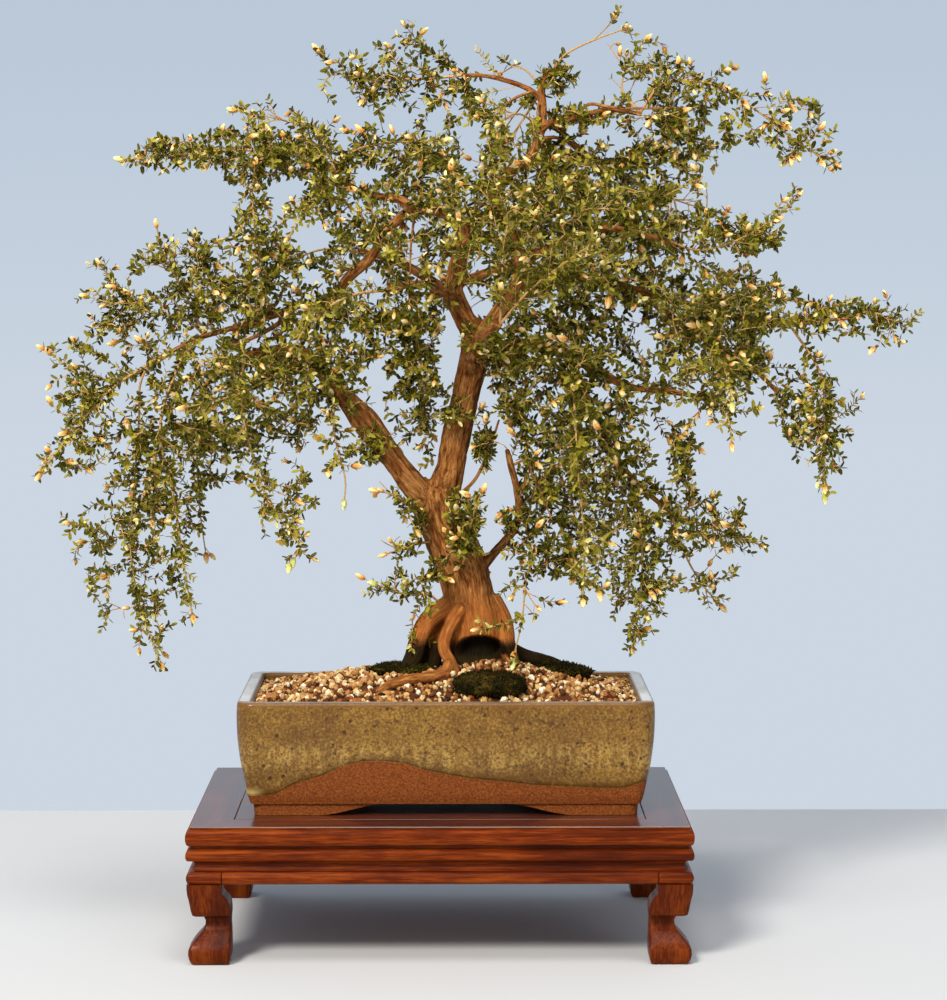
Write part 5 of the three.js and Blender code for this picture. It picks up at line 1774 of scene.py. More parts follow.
    def _seats(self, shoot: Shoot) -> tuple[np.ndarray, ...]:
        """Finds where a shoot's leaves sit.

        Args:
            shoot: the shoot.

        Returns:
            Places, the directions of the blades, the ways their upper sides face, sizes and tints.
        """
        lengths = lengths_along(shoot.route)
        total = lengths[-1]
        start = min(total * shoot.bare + 1.5 * MM, total * 0.5)
        count = max(2, int((total - start) / self.pair_spacing))
        at = start + (total - start) * (np.arange(count) + 0.5) / count
        at = np.repeat(at, 2)
        tangents, sides, ups = frames_along(shoot.route)
        table = np.column_stack([shoot.route, tangents, sides, ups])
        rows = np.column_stack([np.interp(at, lengths, column) for column in table.T])
        place, tangent, side, up = (rows[:, 3 * k : 3 * k + 3] for k in range(4))
        n = len(at)
        pair = np.repeat(np.arange(count), 2)
        angle = pair * math.pi / 2 + np.tile([0, math.pi], count) + self.random.uniform(-0.35, 0.35, n)
        angle = angle + self.random.uniform(0, TURN)
        out = side * np.cos(angle)[:, None] + up * np.sin(angle)[:, None]
        share = (at - start) / (total - start)
        wide, fewer = self.leaf_angles
        spread = np.radians(wide - fewer * share**3 + self.random.uniform(-16, 16, n))[:, None]
        axis = tangent * np.cos(spread) + out * np.sin(spread)
        face = tangent * np.sin(spread) - out * np.cos(spread)
        face = face + np.array([0.0, -0.2, 0.3]) + self.random.normal(scale=0.45, size=(n, 3))
        size = self.random.uniform(*self.leaf_sizes, n) * (1 - 0.35 * share**4)
        tint = shoot.tint + 0.34 * share**3 + self.random.uniform(-0.2, 0.24, n)
        return place, axis, face, size, np.clip(tint, 0, 1)

    def _piece(self, tree: Grower, owner: int, name: str) -> bpy.types.Object:
        """Makes one spray's piece.

        Args:
            tree: the tree that puts leaves and buds on its points.
            owner: the spray's number.
            name: its name.

        Returns:
            The piece.
        """
        shell = Shell()
        tints: list[np.ndarray] = []
        rows: list[np.ndarray] = []
        for shoot in (s for s in self.shoots if s.owner == owner):
            radii = np.linspace(*shoot.thickness, len(shoot.route))
            sides = 4 if shoot.thickness[0] > 1.0 * MM else 3
            shell.tube(shoot.route, radii, sides)
            tints.append(np.repeat(np.linspace(0.1, 0.9, len(shoot.route)), sides))
            places, axis, face, size, tint = self._seats(shoot)
            seen = SIGHT.picture(places)
            clear = ~np.any([gap.holds(seen) for gap in GAPS], axis=0)
            kind = np.ones(len(places))
            rows.append(np.column_stack([places, axis, face, size, tint, kind])[clear])
            if shoot.ending is not Ending.LEAVES:
                rows.append(self._bud_row(shoot))
        seats = np.vstack(rows)
        count = shell.count
        points = np.vstack([shell.all_points(), seats[:, :3]])
        zeros = np.zeros((count, 3))
        piece = piece_from(
            "leafy_" + name,
            points,
            shell.faces,
            axis=np.vstack([zeros, seats[:, 3:6]]),
            face=np.vstack([zeros, seats[:, 6:9]]),
            size=np.concatenate([np.ones(count), seats[:, 9]]),
            tint=np.concatenate([*tints, seats[:, 10]]),
            kind=np.concatenate([np.zeros(count), seats[:, 11]]),
        )
        tree.grow(piece)
        return piece

    def _bud_row(self, shoot: Shoot) -> np.ndarray:
        """The bud at a shoot's end, as one row of the seats."""
        ahead = unit(shoot.route[-1] - shoot.route[-2])
        place = shoot.route[-1] - ahead * self.bud_sunk
        pale = shoot.ending is Ending.PALE_BUD
        size = self.random.uniform(1.0, 1.2) if pale else self.random.uniform(0.6, 1.12)
        face = np.cross(ahead, self.random.normal(size=3))
        tint = 0.9 if pale else self.random.uniform(0.0, 0.68)
        return np.array([[*place, *ahead, *face, size, tint, 2.0]])

    def _tree(self) -> Grower:
        """Builds the tree that puts a leaf or a bud on every loose point.

        Returns:
            The tree.
        """
        tree = Grower("leafy_spray")
        length = tree.size("Leaf Length", self.leaf_length)
        width = tree.size("Leaf Width", self.leaf_width)
        fold = tree.size("Leaf Fold", self.leaf_fold)
        curl = tree.size("Leaf Curl", self.leaf_curl)
        bud_length = tree.size("Bud Length", self.bud_length)
        bud_width = tree.size("Bud Width", self.bud_width)
        leaf_finish = tree.size("Leaf Finish", self.leaf.make())
        bud_finish = tree.size("Bud Finish", self.bud.make())
        twig_finish = tree.size("Twig Finish", self.twig.make())
        leaf = tree.dressed(self._leaf(tree, length, width, fold, curl), leaf_finish)
        bud = tree.dressed(self._bud(tree, bud_length, bud_width), bud_finish)
        kind = tree.named("kind")
        turned = tree.node(
            "FunctionNodeAlignRotationToVector", {"axis": "Y"}, {"Vector": tree.named("axis", "FLOAT_VECTOR")}
        )
        turned = tree.node(
            "FunctionNodeAlignRotationToVector",
            {"axis": "Z", "pivot_axis": "Y"},
            {"Rotation": turned, "Vector": tree.named("face", "FLOAT_VECTOR")},
        )
        seats = {"Rotation": turned, "Scale": tree.named("size")}
        grown = [
            tree.instances(tree.mesh, shape, Selection=kind.near(number), **seats)
            for shape, number in ((leaf, 1.0), (bud, 2.0))
        ]
        loose = {"Geometry": tree.mesh, "Selection": kind.above(0.5)}
        twigs = tree.node("GeometryNodeDeleteGeometry", {"domain": "POINT"}, loose)
        tree.finish(tree.realized(tree.dressed(twigs, twig_finish), *grown))
        return tree

    @staticmethod
    def _leaf(tree: Grower, length: Wire, width: Wire, fold: Wire, curl: Wire) -> Wire:
        """A leaf of six faces round its middle, that points along Y and faces Z."""
        size = {"Vertices": 6, "Radius": 1.0}
        disc = tree.node("GeometryNodeMeshCircle", {"fill_type": "TRIANGLE_FAN"}, size, "Mesh")
        along, across, _ = tree.parts(tree.node("GeometryNodeInputPosition"))
        share = along * 0.5 + 0.5
        disc = tree.stored(disc, "blade", tree.vector(across, share, 0.0))
        half = width * 0.5 * (1.22 - share * 0.3)
        lift = abs(across) * half * fold + share * share * length * curl
        return tree.moved(disc, tree.vector(-(across * half), share * length, lift))

    @staticmethod
    def _bud(tree: Grower, length: Wire, width: Wire) -> Wire:
        """A pointed bud along Y."""
        ball = tree.node("GeometryNodeMeshUVSphere", {}, {"Segments": 7, "Rings": 5, "Radius": 1.0}, "Mesh")
        x, y, z = tree.parts(tree.node("GeometryNodeInputPosition"))
        share = z * 0.5 + 0.5
        scales = (y.angle(x) * 4.0 + z * 9.0).sine()
        ball = tree.stored(ball, "blade", tree.vector(0.0, share, scales * 0.5 + 0.5))
        half = width * 0.5 * (1.0 - share * 0.42) * (scales * 0.1 + 1.0)
        return tree.moved(ball, tree.vector(x * half, share * length, -(y * half)))


# Ground: soil, gravel, stone and moss


@dataclass(frozen=True)
class GravelFinish:
    """Grains of cream, tan, orange and brown stone."""

    stones: tuple[tuple[float, Colour], ...] = (
        (0.0, (38, 20, 8)),
        (0.14, (94, 50, 20)),
        (0.3, (160, 106, 50)),
        (0.46, (200, 154, 92)),
        (0.6, (146, 74, 28)),
        (0.76, (214, 178, 118)),
        (0.92, (230, 206, 156)),
        (1.0, (248, 238, 214)),
    )
    speck: Colour = (96, 60, 30)

    def make(self) -> bpy.types.Material:
        """Builds the material."""
        sheet = Sheet.for_material("gravel")
        colour = sheet.ramp(sheet.attribute("tint"), *self.stones)
        speck = sheet.noise(sheet.spot(), 900.0, 3.0)
        colour = sheet.mix(speck.step(0.5, 0.75) * 0.4, colour, self.speck)
        bumped = sheet.bump(speck, 0.4 * MM, 0.6)
        return sheet.surface(Base_Color=colour, Roughness=0.75, Specular_IOR_Level=0.2, Normal=bumped)


@dataclass(frozen=True)
class GroundFinish:
    """Dark damp soil, with finer grit in it."""

    dark: Colour = (58, 40, 28)
    pale: Colour = (128, 96, 66)

    def make(self) -> bpy.types.Material:
        """Builds the material."""
        sheet = Sheet.for_material("soil")
        grit = sheet.cells(sheet.spot(), 380.0)
        damp = sheet.noise(sheet.spot(), 60.0)
        shade = (grit * 0.6 + damp * 0.5).step(0.2, 0.8)
        colour = sheet.ramp(shade, (0.0, self.dark), (1.0, self.pale))
        return sheet.surface(Base_Color=colour, Roughness=0.95, Normal=sheet.bump(grit, 1.2 * MM))


@dataclass(frozen=True)
class MossFinish:
    """Short dark moss over stone or soil."""

    deep: Colour = (14, 10, 2)
    green: Colour = (40, 34, 5)
    tip: Colour = (96, 88, 20)
    bare: Colour = (62, 40, 16)

    def make(self) -> bpy.types.Material:
        """Builds the material."""
        sheet = Sheet.for_material("moss")
        patch = sheet.noise(sheet.spot(), 70.0, 4.0)
        fine = sheet.noise(sheet.spot(), 500.0, 3.0)
        shade = (patch * 0.5 + fine * 0.5).step(0.3, 0.72)
        colour = sheet.ramp(shade, (0.0, self.deep), (0.6, self.green), (1.0, self.tip))
        colour = sheet.mix(sheet.attribute("bareness") * patch.step(0.5, 0.62), colour, self.bare)
        bumped = sheet.bump(fine, 1.6 * MM)
        return sheet.surface(Base_Color=colour, Roughness=0.95, Specular_IOR_Level=0.1, Normal=bumped)


@dataclass(frozen=True)
class MeshFinish:
    """Dark plastic mesh."""

    dark: Colour = (38, 40, 39)
    scuffed: Colour = (64, 66, 64)

    def make(self) -> bpy.types.Material:
        """Builds the material."""
        sheet = Sheet.for_material("plastic_mesh")
        scuff = sheet.noise(sheet.spot(), 300.0)
        colour = sheet.mix(scuff * 0.5, self.dark, self.scuffed)
        return sheet.surface(Base_Color=colour, Roughness=0.5)


@dataclass(frozen=True)
class Lump:
    """A low mound or a stone: its middle as it is seen, and its half sizes in millimetres."""

    middle: Place
    half: Place
    rough: float
    bareness: float


LUMPS: dict[str, Lump] = {
    "mossy_stone": Lump((489, 686, -80), (33, 19, 12.5), 0.3, 0.5),
    "moss_left": Lump((402, 672, -14), (30, 22, 7), 0.5, 0.0),
    "moss_right": Lump((556, 671, 6), (35, 22, 6.5), 0.5, 0.0),
}


@dataclass
class Ground:
    """What lies in the pot round the trunk."""

    pot: "Pot"
    below_rim: float = 5.5 * MM
    mound: float = 24 * MM
    heap: float = 9 * MM
    heap_middle: Place = (500, 668, -26)  # as it is seen, by the foot of the trunk
    heap_spread: tuple[float, float] = (34 * MM, 24 * MM)
    grain: float = 3.4 * MM
    density: float = 50000.0  # grains on a square metre
    tuft: float = 2.4 * MM
    tuft_density: float = 300000.0
    clearance: float = 0.5 * MM
    unevenness: float = 7 * MM
    uneven_width: float = 18 * MM
    gravel_steps: tuple[int, int] = (110, 62)
    lump_steps: tuple[int, int] = (72, 36)

    def mound_at(self, x: np.ndarray, y: np.ndarray) -> np.ndarray:
        """The share of the mound's height at places in the pot, measured from the pot's middle."""
        u = x / (self.pot.width / 2 - self.pot.wall)
        v = y / (self.pot.depth / 2 - self.pot.wall)
        return np.maximum(0, 1 - u * u) ** 0.8 * np.maximum(0, 1 - v * v) ** 0.7

    def gravel(self) -> bpy.types.Object:
        """Builds the gravel.

        Returns:
            The piece.
        """
        centre = self.pot.centre
        half_width = self.pot.width / 2 - self.pot.wall - self.clearance
        half_depth = self.pot.depth / 2 - self.pot.wall - self.clearance
        columns, rows = self.gravel_steps
        u, v = np.meshgrid(np.linspace(-1, 1, columns), np.linspace(-1, 1, rows))
        x, y = u.ravel() * half_width, v.ravel() * half_depth
        flat = np.column_stack([x, y, np.zeros(len(x))])
        uneven = (rough(flat / self.uneven_width + 40, 31, 3) - 0.5) * self.unevenness
        edge = np.minimum(half_width - np.abs(x), half_depth - np.abs(y))
        top = self.pot.height - self.below_rim - self.grain + self.mound * self.mound_at(x, y)
        top = top + uneven * np.clip(edge / (15 * MM), 0.15, 1)
        off = (flat[:, :2] + centre[:2] - SIGHT.seen(*self.heap_middle)[:2]) / np.array(self.heap_spread)
        top = top + self.heap * np.exp(-np.sum(off**2, axis=1) / 2)
        points = np.column_stack([x + centre[0], y + centre[1], top + centre[2]])
        faces = [
            (j * columns + i, j * columns + i + 1, (j + 1) * columns + i + 1, (j + 1) * columns + i)
            for j in range(rows - 1)
            for i in range(columns - 1)
        ]
        tint = 0.02 + 0.16 * rough(flat / (4 * MM) + 9, 33, 2)
        piece = piece_from("gravel_grains", points, faces, tint=tint)
        self._gravel_tree().grow(piece)
        return piece

    def _gravel_tree(self) -> Grower:
        """Builds the tree that strews grains over a surface.

        Returns:
            The tree.
        """
        tree = Grower("gravel_grains")
        size = tree.size("Grain Size", self.grain)
        density = tree.size("Density", self.density)
        seed = tree.size("Seed", 12)
        finish = tree.size("Finish", GravelFinish().make())
        grain = tree.node("GeometryNodeMeshIcoSphere", {}, {"Radius": 1.0, "Subdivisions": 1}, "Mesh")
        ball = tree.node("GeometryNodeInputPosition")
        lumps = tree.node("ShaderNodeTexNoise", {}, {"Vector": ball, "Scale": 1.3}, "Fac")
        values = {0: ball, "Scale": lumps * 0.7 + 0.55}
        grain = tree.moved(grain, tree.node("ShaderNodeVectorMath", {"operation": "SCALE"}, values))
        tint, roll, pitch, yaw, bulk, breadth = (tree.chance(3 + k) for k in range(6))
        strewn = tree.stored(tree.strewn(tree.mesh, density, seed), "tint", tint, "FLOAT")
        turn = tree.vector(roll * TURN, pitch * TURN, yaw * TURN)
        big = size * (bulk**1.6 * 0.8 + 0.45)
        scale = tree.vector(big * (breadth * 0.4 + 0.9), big, big * 0.75)
        values = {"Geometry": strewn, "Offset": tree.vector(0.0, 0.0, size * 0.35)}
        lifted = tree.node("GeometryNodeSetPosition", {}, values)
        grown = tree.instances(lifted, grain, Rotation=turn, Scale=scale)
        tree.finish(tree.dressed(tree.realized(tree.mesh, grown), finish))
        return tree

    def lumps(self) -> list[bpy.types.Object]:
        """Builds the mossy stone and the moss by the roots.

        Returns:
            A piece for each, in the order of LUMPS.
        """
        tree = self._moss_tree()
        return [self._lump(tree, n, name, lump) for n, (name, lump) in enumerate(LUMPS.items())]

    def _lump(self, tree: Grower, n: int, name: str, lump: Lump) -> bpy.types.Object:
        """Builds one lump with its tufts.

        Args:
            tree: the tree that grows the tufts.
            n: the lump's number.
            name: its name.
            lump: its place and sizes.

        Returns:
            The piece.
        """
        columns, rows = self.lump_steps
        polar = math.pi * (np.arange(rows + 1) / rows)
        around = circle(columns)
        level = np.sin(polar)[:, None, None] * around
        ball = np.dstack([level, np.broadcast_to(-np.cos(polar)[:, None], (rows + 1, columns))])
        ball[0, :, :2] = 0.002 * around
        ball[-1, :, :2] = ball[0, :, :2]
        flat = ball.reshape(-1, 3)
        bumps = rough(flat * 1.6 + 7 * n, 41, 4) - 0.5
        fine = rough(flat * 9 + 3 * n, 47, 2) - 0.5
        reach = 1 + lump.rough * 2 * bumps + 0.05 * fine
        points = SIGHT.seen(*lump.middle) + flat * reach[:, None] * np.array(lump.half) * MM
        shell = Shell()
        shell.stack(points.reshape(rows + 1, columns, 3))
        bare = np.full(len(points), lump.bareness)
        piece = piece_from(name + "_tufted", shell.all_points(), shell.faces, bareness=bare)
        tree.grow(piece)
        return piece

    def _moss_tree(self) -> Grower:
        """Builds the tree that grows tufts on a lump.

        Returns:
            The tree.
        """
        tree = Grower("moss_tufts")
        height = tree.size("Tuft Height", self.tuft)
        density = tree.size("Density", self.tuft_density)
        seed = tree.size("Seed", 5)
        finish = tree.size("Finish", MossFinish().make())
        cone = tree.node(
            "GeometryNodeMeshCone",
            {"fill_type": "NONE"},
            {"Vertices": 3, "Side Segments": 1, "Radius Top": 0.02, "Radius Bottom": 0.34, "Depth": 1.0},
            "Mesh",
        )
        strewn = tree.strewn(tree.mesh, density, seed)
        upright = Wire(tree, strewn.socket.node.outputs["Rotation"])
        lean = tree.vector(tree.chance(14) - 0.5, tree.chance(15) - 0.5, tree.chance(16) * TURN)
        values = {"Rotation": upright, "Rotate By": lean}
        turned = tree.node("FunctionNodeRotateRotation", {"rotation_space": "LOCAL"}, values)
        big = height * (tree.chance(17) * 0.8 + 0.5)
        grown = tree.instances(strewn, cone, Rotation=turned, Scale=big)
        tree.finish(tree.dressed(tree.realized(tree.mesh, grown), finish))
        return tree


# Pot


@dataclass(frozen=True)
class GlazeFinish:
    """Olive-brown glaze with brown specks and pale drips over bare reddish clay."""

    shade: Colour = (106, 74, 24)
    olive: Colour = (144, 108, 40)
    pale: Colour = (176, 142, 72)
    brown: Colour = (66, 34, 7)
    mottled: Colour = (86, 50, 12)
    flecks: Colour = (188, 156, 88)
    dot: Colour = (60, 28, 5)
    edge: Colour = (86, 56, 14)
    cream: Colour = (206, 178, 112)
    clay: Colour = (126, 64, 20)
    clay_dark: Colour = (100, 48, 14)
    clay_pale: Colour = (144, 80, 30)
    grit: Colour = (180, 120, 66)
    # grey and blue: the painted reflection on the rim's upward faces
    painted_reflection_grey: Colour = (202, 204, 202)
    blue: Colour = (228, 236, 243)
    worn: Colour = (110, 74, 36)

    def make(self) -> bpy.types.Material:
        """Builds the material."""
        sheet = Sheet.for_material("glazed_stoneware")
        spot = sheet.spot()
        above = sheet.attribute("above")  # millimetres above the glaze's lower edge
        top = sheet.attribute("top")  # share that faces up on the rim, which gets a painted grey-blue reflection
        height = sheet.attribute("height")  # millimetres above the stand
        cloud = sheet.noise(spot, 26.0, 4.0)
        drip = sheet.noise(sheet.stretched(spot, (1.0, 1.0, 0.12)), 170.0, 3.0)
        fine = sheet.noise(spot, 620.0, 3.0)
        colour = sheet.ramp(cloud.step(0.3, 0.7), (0.0, self.shade), (1.0, self.olive))
        band = (height + drip * 20).step(46.0, 58.0) * (1 - (height + drip * 16).step(66.0, 80.0))
        colour = sheet.mix(band * (drip.step(0.42, 0.62) * 0.65 + 0.15), colour, self.pale)
        mottle = sheet.noise(spot, 420.0, 4.0, 0.75)
        colour = sheet.mix(mottle.step(0.44, 0.58) * 0.72, colour, self.mottled)
        colour = sheet.mix((1 - mottle).step(0.56, 0.68) * 0.35, colour, self.flecks)
        uneven = sheet.noise(spot, 150.0, 3.0)
        specks = sheet.noise(spot, 190.0, 4.0, 0.75).step(0.56, 0.64)
        colour = sheet.mix(specks * 0.72, colour, self.brown)
        dots = 1 - sheet.cells(spot, 110.0).step(0.14, 0.26)
        colour = sheet.mix(dots * uneven.step(0.42, 0.56) * 0.9, colour, self.dot)
        thick = (1 - above.step(2.0, 9.0)) * above.step(-0.5, 0.6)
        colour = sheet.mix(thick * (uneven.step(0.36, 0.6) * 0.5 + 0.3), colour, self.edge)
        colour = sheet.mix(sheet.attribute("corner") * thick * 0.8, colour, self.cream)
        # Painted reflection: the rim's upward faces are mixed towards a pale grey-blue.
        painted_reflection_grey = sheet.mix(cloud.step(0.35, 0.65), self.painted_reflection_grey, self.blue)
        colour = sheet.mix(top * 0.85, colour, painted_reflection_grey)
        rim = 1 - abs(height - 99.0).step(0.8, 2.6)
        colour = sheet.mix(rim * 0.6, colour, self.worn)
        stops = (0.0, self.clay_dark), (0.5, self.clay), (1.0, self.clay_pale)
        clay = sheet.ramp(fine.step(0.3, 0.72), *stops)
        grains = 1 - sheet.cells(spot, 420.0).step(0.16, 0.3)
        clay = sheet.mix(grains * 0.35, clay, self.grit)
        wavering = above + (fine - 0.5) * 1.6
        glazed = wavering.step(-0.25, 0.25)
        colour = sheet.mix(glazed, clay, colour)
        ridge = above.step(-0.6, 2.2)
        relief = ridge * 0.7 + fine * (1 - glazed) * 0.55 + cloud * 0.2
        return sheet.surface(
            Base_Color=colour,
            Roughness=0.88 - glazed * 0.5 + specks * 0.08,
            Specular_IOR_Level=0.25,
            Coat_Weight=glazed * 0.15,
            Coat_Roughness=0.2,
            Normal=sheet.bump(relief, 0.9 * MM, 0.9),
        )


@dataclass
class Pot:
    """The shallow four-sided pot, with its wall, foot and drain holes."""

    width: float = 364 * MM
    depth: float = 215 * MM
    height: float = 101 * MM
    wall: float = 12 * MM
    corner: float = 14 * MM
    foot_height: float = 10.5 * MM
    foot_inset: float = 14 * MM
    foot_wall: float = 13 * MM
    drain_radius: float = 9 * MM
    drain_spacing: float = 150 * MM
    drain_sides: int = 32
    drain_cut: tuple[float, float] = (5 * MM, 30 * MM)
    arch_long: tuple[float, float] = (50, 113)  # where the foot's arches start and end, in millimetres
    arch_short: tuple[float, float] = (28, 60)
    glaze_thickness: float = 0.5 * MM
    hump: float = 9 * MM  # of the glaze's edge on the sides
    # Outset from the rim's edge and height above the stand, in millimetres.
    outside: Route = field(
        default_factory=lambda: [
            (-11, 10.5), (-10, 13.5), (-8.5, 18), (-5.5, 33), (-2.4, 49), (0, 70), (0.6, 88), (0.3, 96),
        ]
    )
    inside: Route = field(
        default_factory=lambda: [(-12.4, 97.5), (-13, 90), (-16.5, 50), (-18, 24), (-20, 22)]
    )
    rim_radius: float = 3.2  # millimetres
    # Where the glaze ends on the front, as it is seen.
    glaze_edge: Route = field(
        default_factory=lambda: [
            (236, 800), (250, 799), (275, 797), (292, 787), (306, 782), (320, 778), (343, 767), (363, 762),
            (382, 762), (405, 764), (424, 771), (442, 775), (471, 780), (503, 783), (535, 787), (567, 788),
            (599, 790), (624, 790), (640, 785), (650, 780), (658, 778),
        ]
    )

    @property
    def centre(self) -> np.ndarray:
        """The middle of its foot on the stand."""
        low, high = (np.array(corner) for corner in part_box("pot"))
        return np.array([(low[0] + high[0]) / 2, (low[1] + high[1]) / 2, low[2]])

    def build(self) -> bpy.types.Object:
        """Builds and dresses the pot.

        Returns:
            The piece.
        """
        body = Shell()
        body.stack(self._levels(self._outline()))
        piece = piece_from("pot_glazed", body.all_points(), body.faces)
        foot = self._foot()
        self._cut(piece, [self._drain(-1), self._drain(1)])
        join_into(piece, foot)
        mesh = piece.data
        points = points_of(mesh) + self.centre
        above = self._above_glaze_edge(points)
        normals = normals_of(mesh)
        outer = normals[:, 2] < 0.9
        # The rim's upward faces, less on the front lip, carry the painted reflection.
        behind = 0.2 + 0.8 * eased(points[:, 1] - self.centre[1] + self.depth / 2, 10 * MM, 16 * MM)
        give(
            mesh,
            above=above / MM,
            height=(points[:, 2] - self.centre[2]) / MM,
            corner=eased(self.centre[0] - points[:, 0], 156 * MM, 172 * MM),
            top=eased(normals[:, 2], 0.75, 0.95) * (points[:, 2] > self.centre[2] + 92 * MM) * behind,
        )
        swell = self.glaze_thickness * eased(above / MM, -0.2, 1.2)
        swell = swell * (1 - 0.6 * eased(above / MM, 3, 12)) * outer
        place(mesh, points + normals * swell[:, None])
        mesh.shade_smooth()
        mesh.set_sharp_from_angle(angle=math.radians(40))
        mesh.materials.append(GlazeFinish().make())
        return piece

    def _outline(self) -> list[tuple[float, float]]:
        """The wall's section, from the foot up, over the rim and down to the floor, in millimetres."""
        rise = smooth_route(np.array([(x, z, 0) for x, z in self.outside]), 2.6)[:, :2].tolist()
        fall = smooth_route(np.array([(x, z, 0) for x, z in self.inside]), 7.0)[:, :2].tolist()
        top = self.height / MM
        radius = self.rim_radius
        angles = np.radians(np.arange(0, 91, 15))
        outer = [(0.2 - radius + radius * math.cos(a), top - radius + radius * math.sin(a)) for a in angles]
        inner = [(-12 + radius - radius * math.sin(a), top - radius + radius * math.cos(a)) for a in angles]
        return [*rise, *outer, *inner, *fall]

    def _levels(self, outline: list[tuple[float, float]]) -> np.ndarray:
        """Rings of points for a section, about the pot's middle."""
        rings = []
        for out, z in outline:
            corner = max(self.corner + out * MM * 0.8, 4 * MM)
            ring = rounded_ring(self.width / 2 + out * MM, self.depth / 2 + out * MM, corner)
            ring[:, 2] = z * MM
            rings.append(ring)
        return np.array(rings)

    def _foot(self) -> bpy.types.Object:
        """Builds the foot band with its flat arches.

        Returns:
            The foot, about the pot's middle.
        """
        outer, inner = -self.foot_inset, -self.foot_inset - self.foot_wall
        rings = []
        for out, top in ((outer + 1 * MM, True), (outer, False), (inner, False), (inner, True)):
            ring = rounded_ring(self.width / 2 + out, self.depth / 2 + out, 8 * MM if out > inner else 4 * MM)
            ring[:, 2] = self.foot_height + 0.8 * MM if top else self._arch(ring)
            rings.append(ring)
        sides = len(rings[0])
        faces = band(sides, [(k, (k + 1) % 4) for k in range(4)])
        return piece_from("foot", np.vstack(rings), [face[::-1] for face in faces])

    def _arch(self, ring: np.ndarray) -> np.ndarray:
        """The height of the foot's lower edge along a ring."""
        x, y = np.abs(ring[:, 0]), np.abs(ring[:, 1])
        long_side = y > self.depth / 2 - self.foot_inset - self.foot_wall - 1 * MM
        across = np.where(long_side, x, y)
        low, high = (np.where(long_side, *pair) * MM for pair in zip(self.arch_long, self.arch_short))
        return self.foot_height * (1 - eased(across, low, high)) * 0.99

    def _drain(self, side: int) -> bpy.types.Object:
        """A round cutter for one drain hole."""
        edge = circle(self.drain_sides) * self.drain_radius
        edge[:, 0] += side * self.drain_spacing / 2
        rings = [np.column_stack([edge, np.full(len(edge), z)]) for z in self.drain_cut]
        shell = Shell()
        shell.stack(np.array(rings))
        return piece_from("cutter", shell.all_points(), shell.faces)

    @staticmethod
    def _cut(piece: bpy.types.Object, cutters: list[bpy.types.Object]) -> None:
        """Takes cutters out of a piece, and removes them."""
        for cutter in cutters:
            hole = piece.modifiers.new("hole", "BOOLEAN")
            hole.operation = "DIFFERENCE"
            hole.solver = "EXACT"
            hole.object = cutter
        settle(piece)
        for cutter in cutters:
            bpy.data.objects.remove(cutter)

    def _above_glaze_edge(self, points: np.ndarray) -> np.ndarray:
        """How far points are above the line that the glaze ends on.

        Args:
            points: places in the frame.

        Returns:
            The heights in metres, below 0 on bare clay.
        """
        face = (self.centre[1] - self.depth / 2 - SIGHT.origin[1]) / MM
        line = np.array([SIGHT.seen(across, down, face) for across, down in self.glaze_edge])
        line[:, 0] -= self.centre[0]
        line[:, 2] -= self.centre[2]
        local = points - self.centre
        x, y, z = local.T
        front = np.interp(x, line[:, 0], line[:, 2])
        back = np.interp(-x * 0.9 + 20 * MM, line[:, 0], line[:, 2]) * 0.9
        share = np.clip((y + self.depth / 2) / self.depth, 0, 1)
        hump = self.hump * np.sin(math.pi * share) * np.sin(3.2 * share + np.where(x > 0, 0.4, 1.9))
        edge = front + (back - front) * eased(share, 0.0, 1.0) + hump
        inner = (np.abs(x) < self.width / 2 - 10.5 * MM) & (np.abs(y) < self.depth / 2 - 10.5 * MM)
        return np.where(inner & (z > 15 * MM), z - 78 * MM, z - edge)


# Stand


class Grain(Enum):
    """The way the wood grain runs."""

    ALONG_X = (0.05, 1.0, 1.0)
    ALONG_Y = (1.0, 0.05, 1.0)
    UPRIGHT = (1.0, 1.0, 0.07)


@dataclass(frozen=True)
class LacquerFinish:
    """Glossy reddish-brown lacquer over fine-grained wood."""

    dark: Colour = (48, 14, 1)
    middle: Colour = (94, 32, 3)
    light: Colour = (154, 70, 14)
    shaded: Colour = (42, 12, 1)
    # painted reflection: a greyish brown for the stand's top, standing in for the sheen seen on it
    level: Colour = (66, 40, 34)
    pore: Colour = (40, 12, 3)

    def make(self, grain: Grain) -> bpy.types.Material:
        """Builds the material for wood whose grain runs one way."""
        sheet = Sheet.for_material("lacquer_" + grain.name.lower())
        drawn = sheet.stretched(sheet.spot(), grain.value)
        bands = sheet.noise(drawn, 90.0, 4.0, 0.6)
        fibres = sheet.noise(drawn, 620.0, 4.0, 0.7)
        cloud = sheet.noise(sheet.spot(), 14.0, 2.0)
        shade = (bands * 0.45 + fibres * 0.45 + cloud * 0.25).step(0.34, 0.8)
        colour = sheet.ramp(shade, (0.0, self.dark), (0.5, self.middle), (1.0, self.light))
        pores = fibres.step(0.62, 0.72)
        colour = sheet.mix(pores * 0.45, colour, self.pore)
        if grain is Grain.UPRIGHT:
            colour = sheet.mix(0.36, colour, self.shaded)
        # Painted reflection: the top faces are mixed towards a greyish brown, under a glossier coat.
        level = sheet.parts(sheet.spot())[2].step(0.1184, 0.1196)
        colour = sheet.mix(level * 0.6, colour, self.level)
        return sheet.surface(
            Base_Color=colour,
            Roughness=0.32 + fibres * 0.12,
            Specular_IOR_Level=0.08,
            Coat_Weight=level * 0.6 + 0.03,
            Coat_Roughness=0.12,
            Normal=sheet.bump(fibres, 0.12 * MM, 0.6),
        )


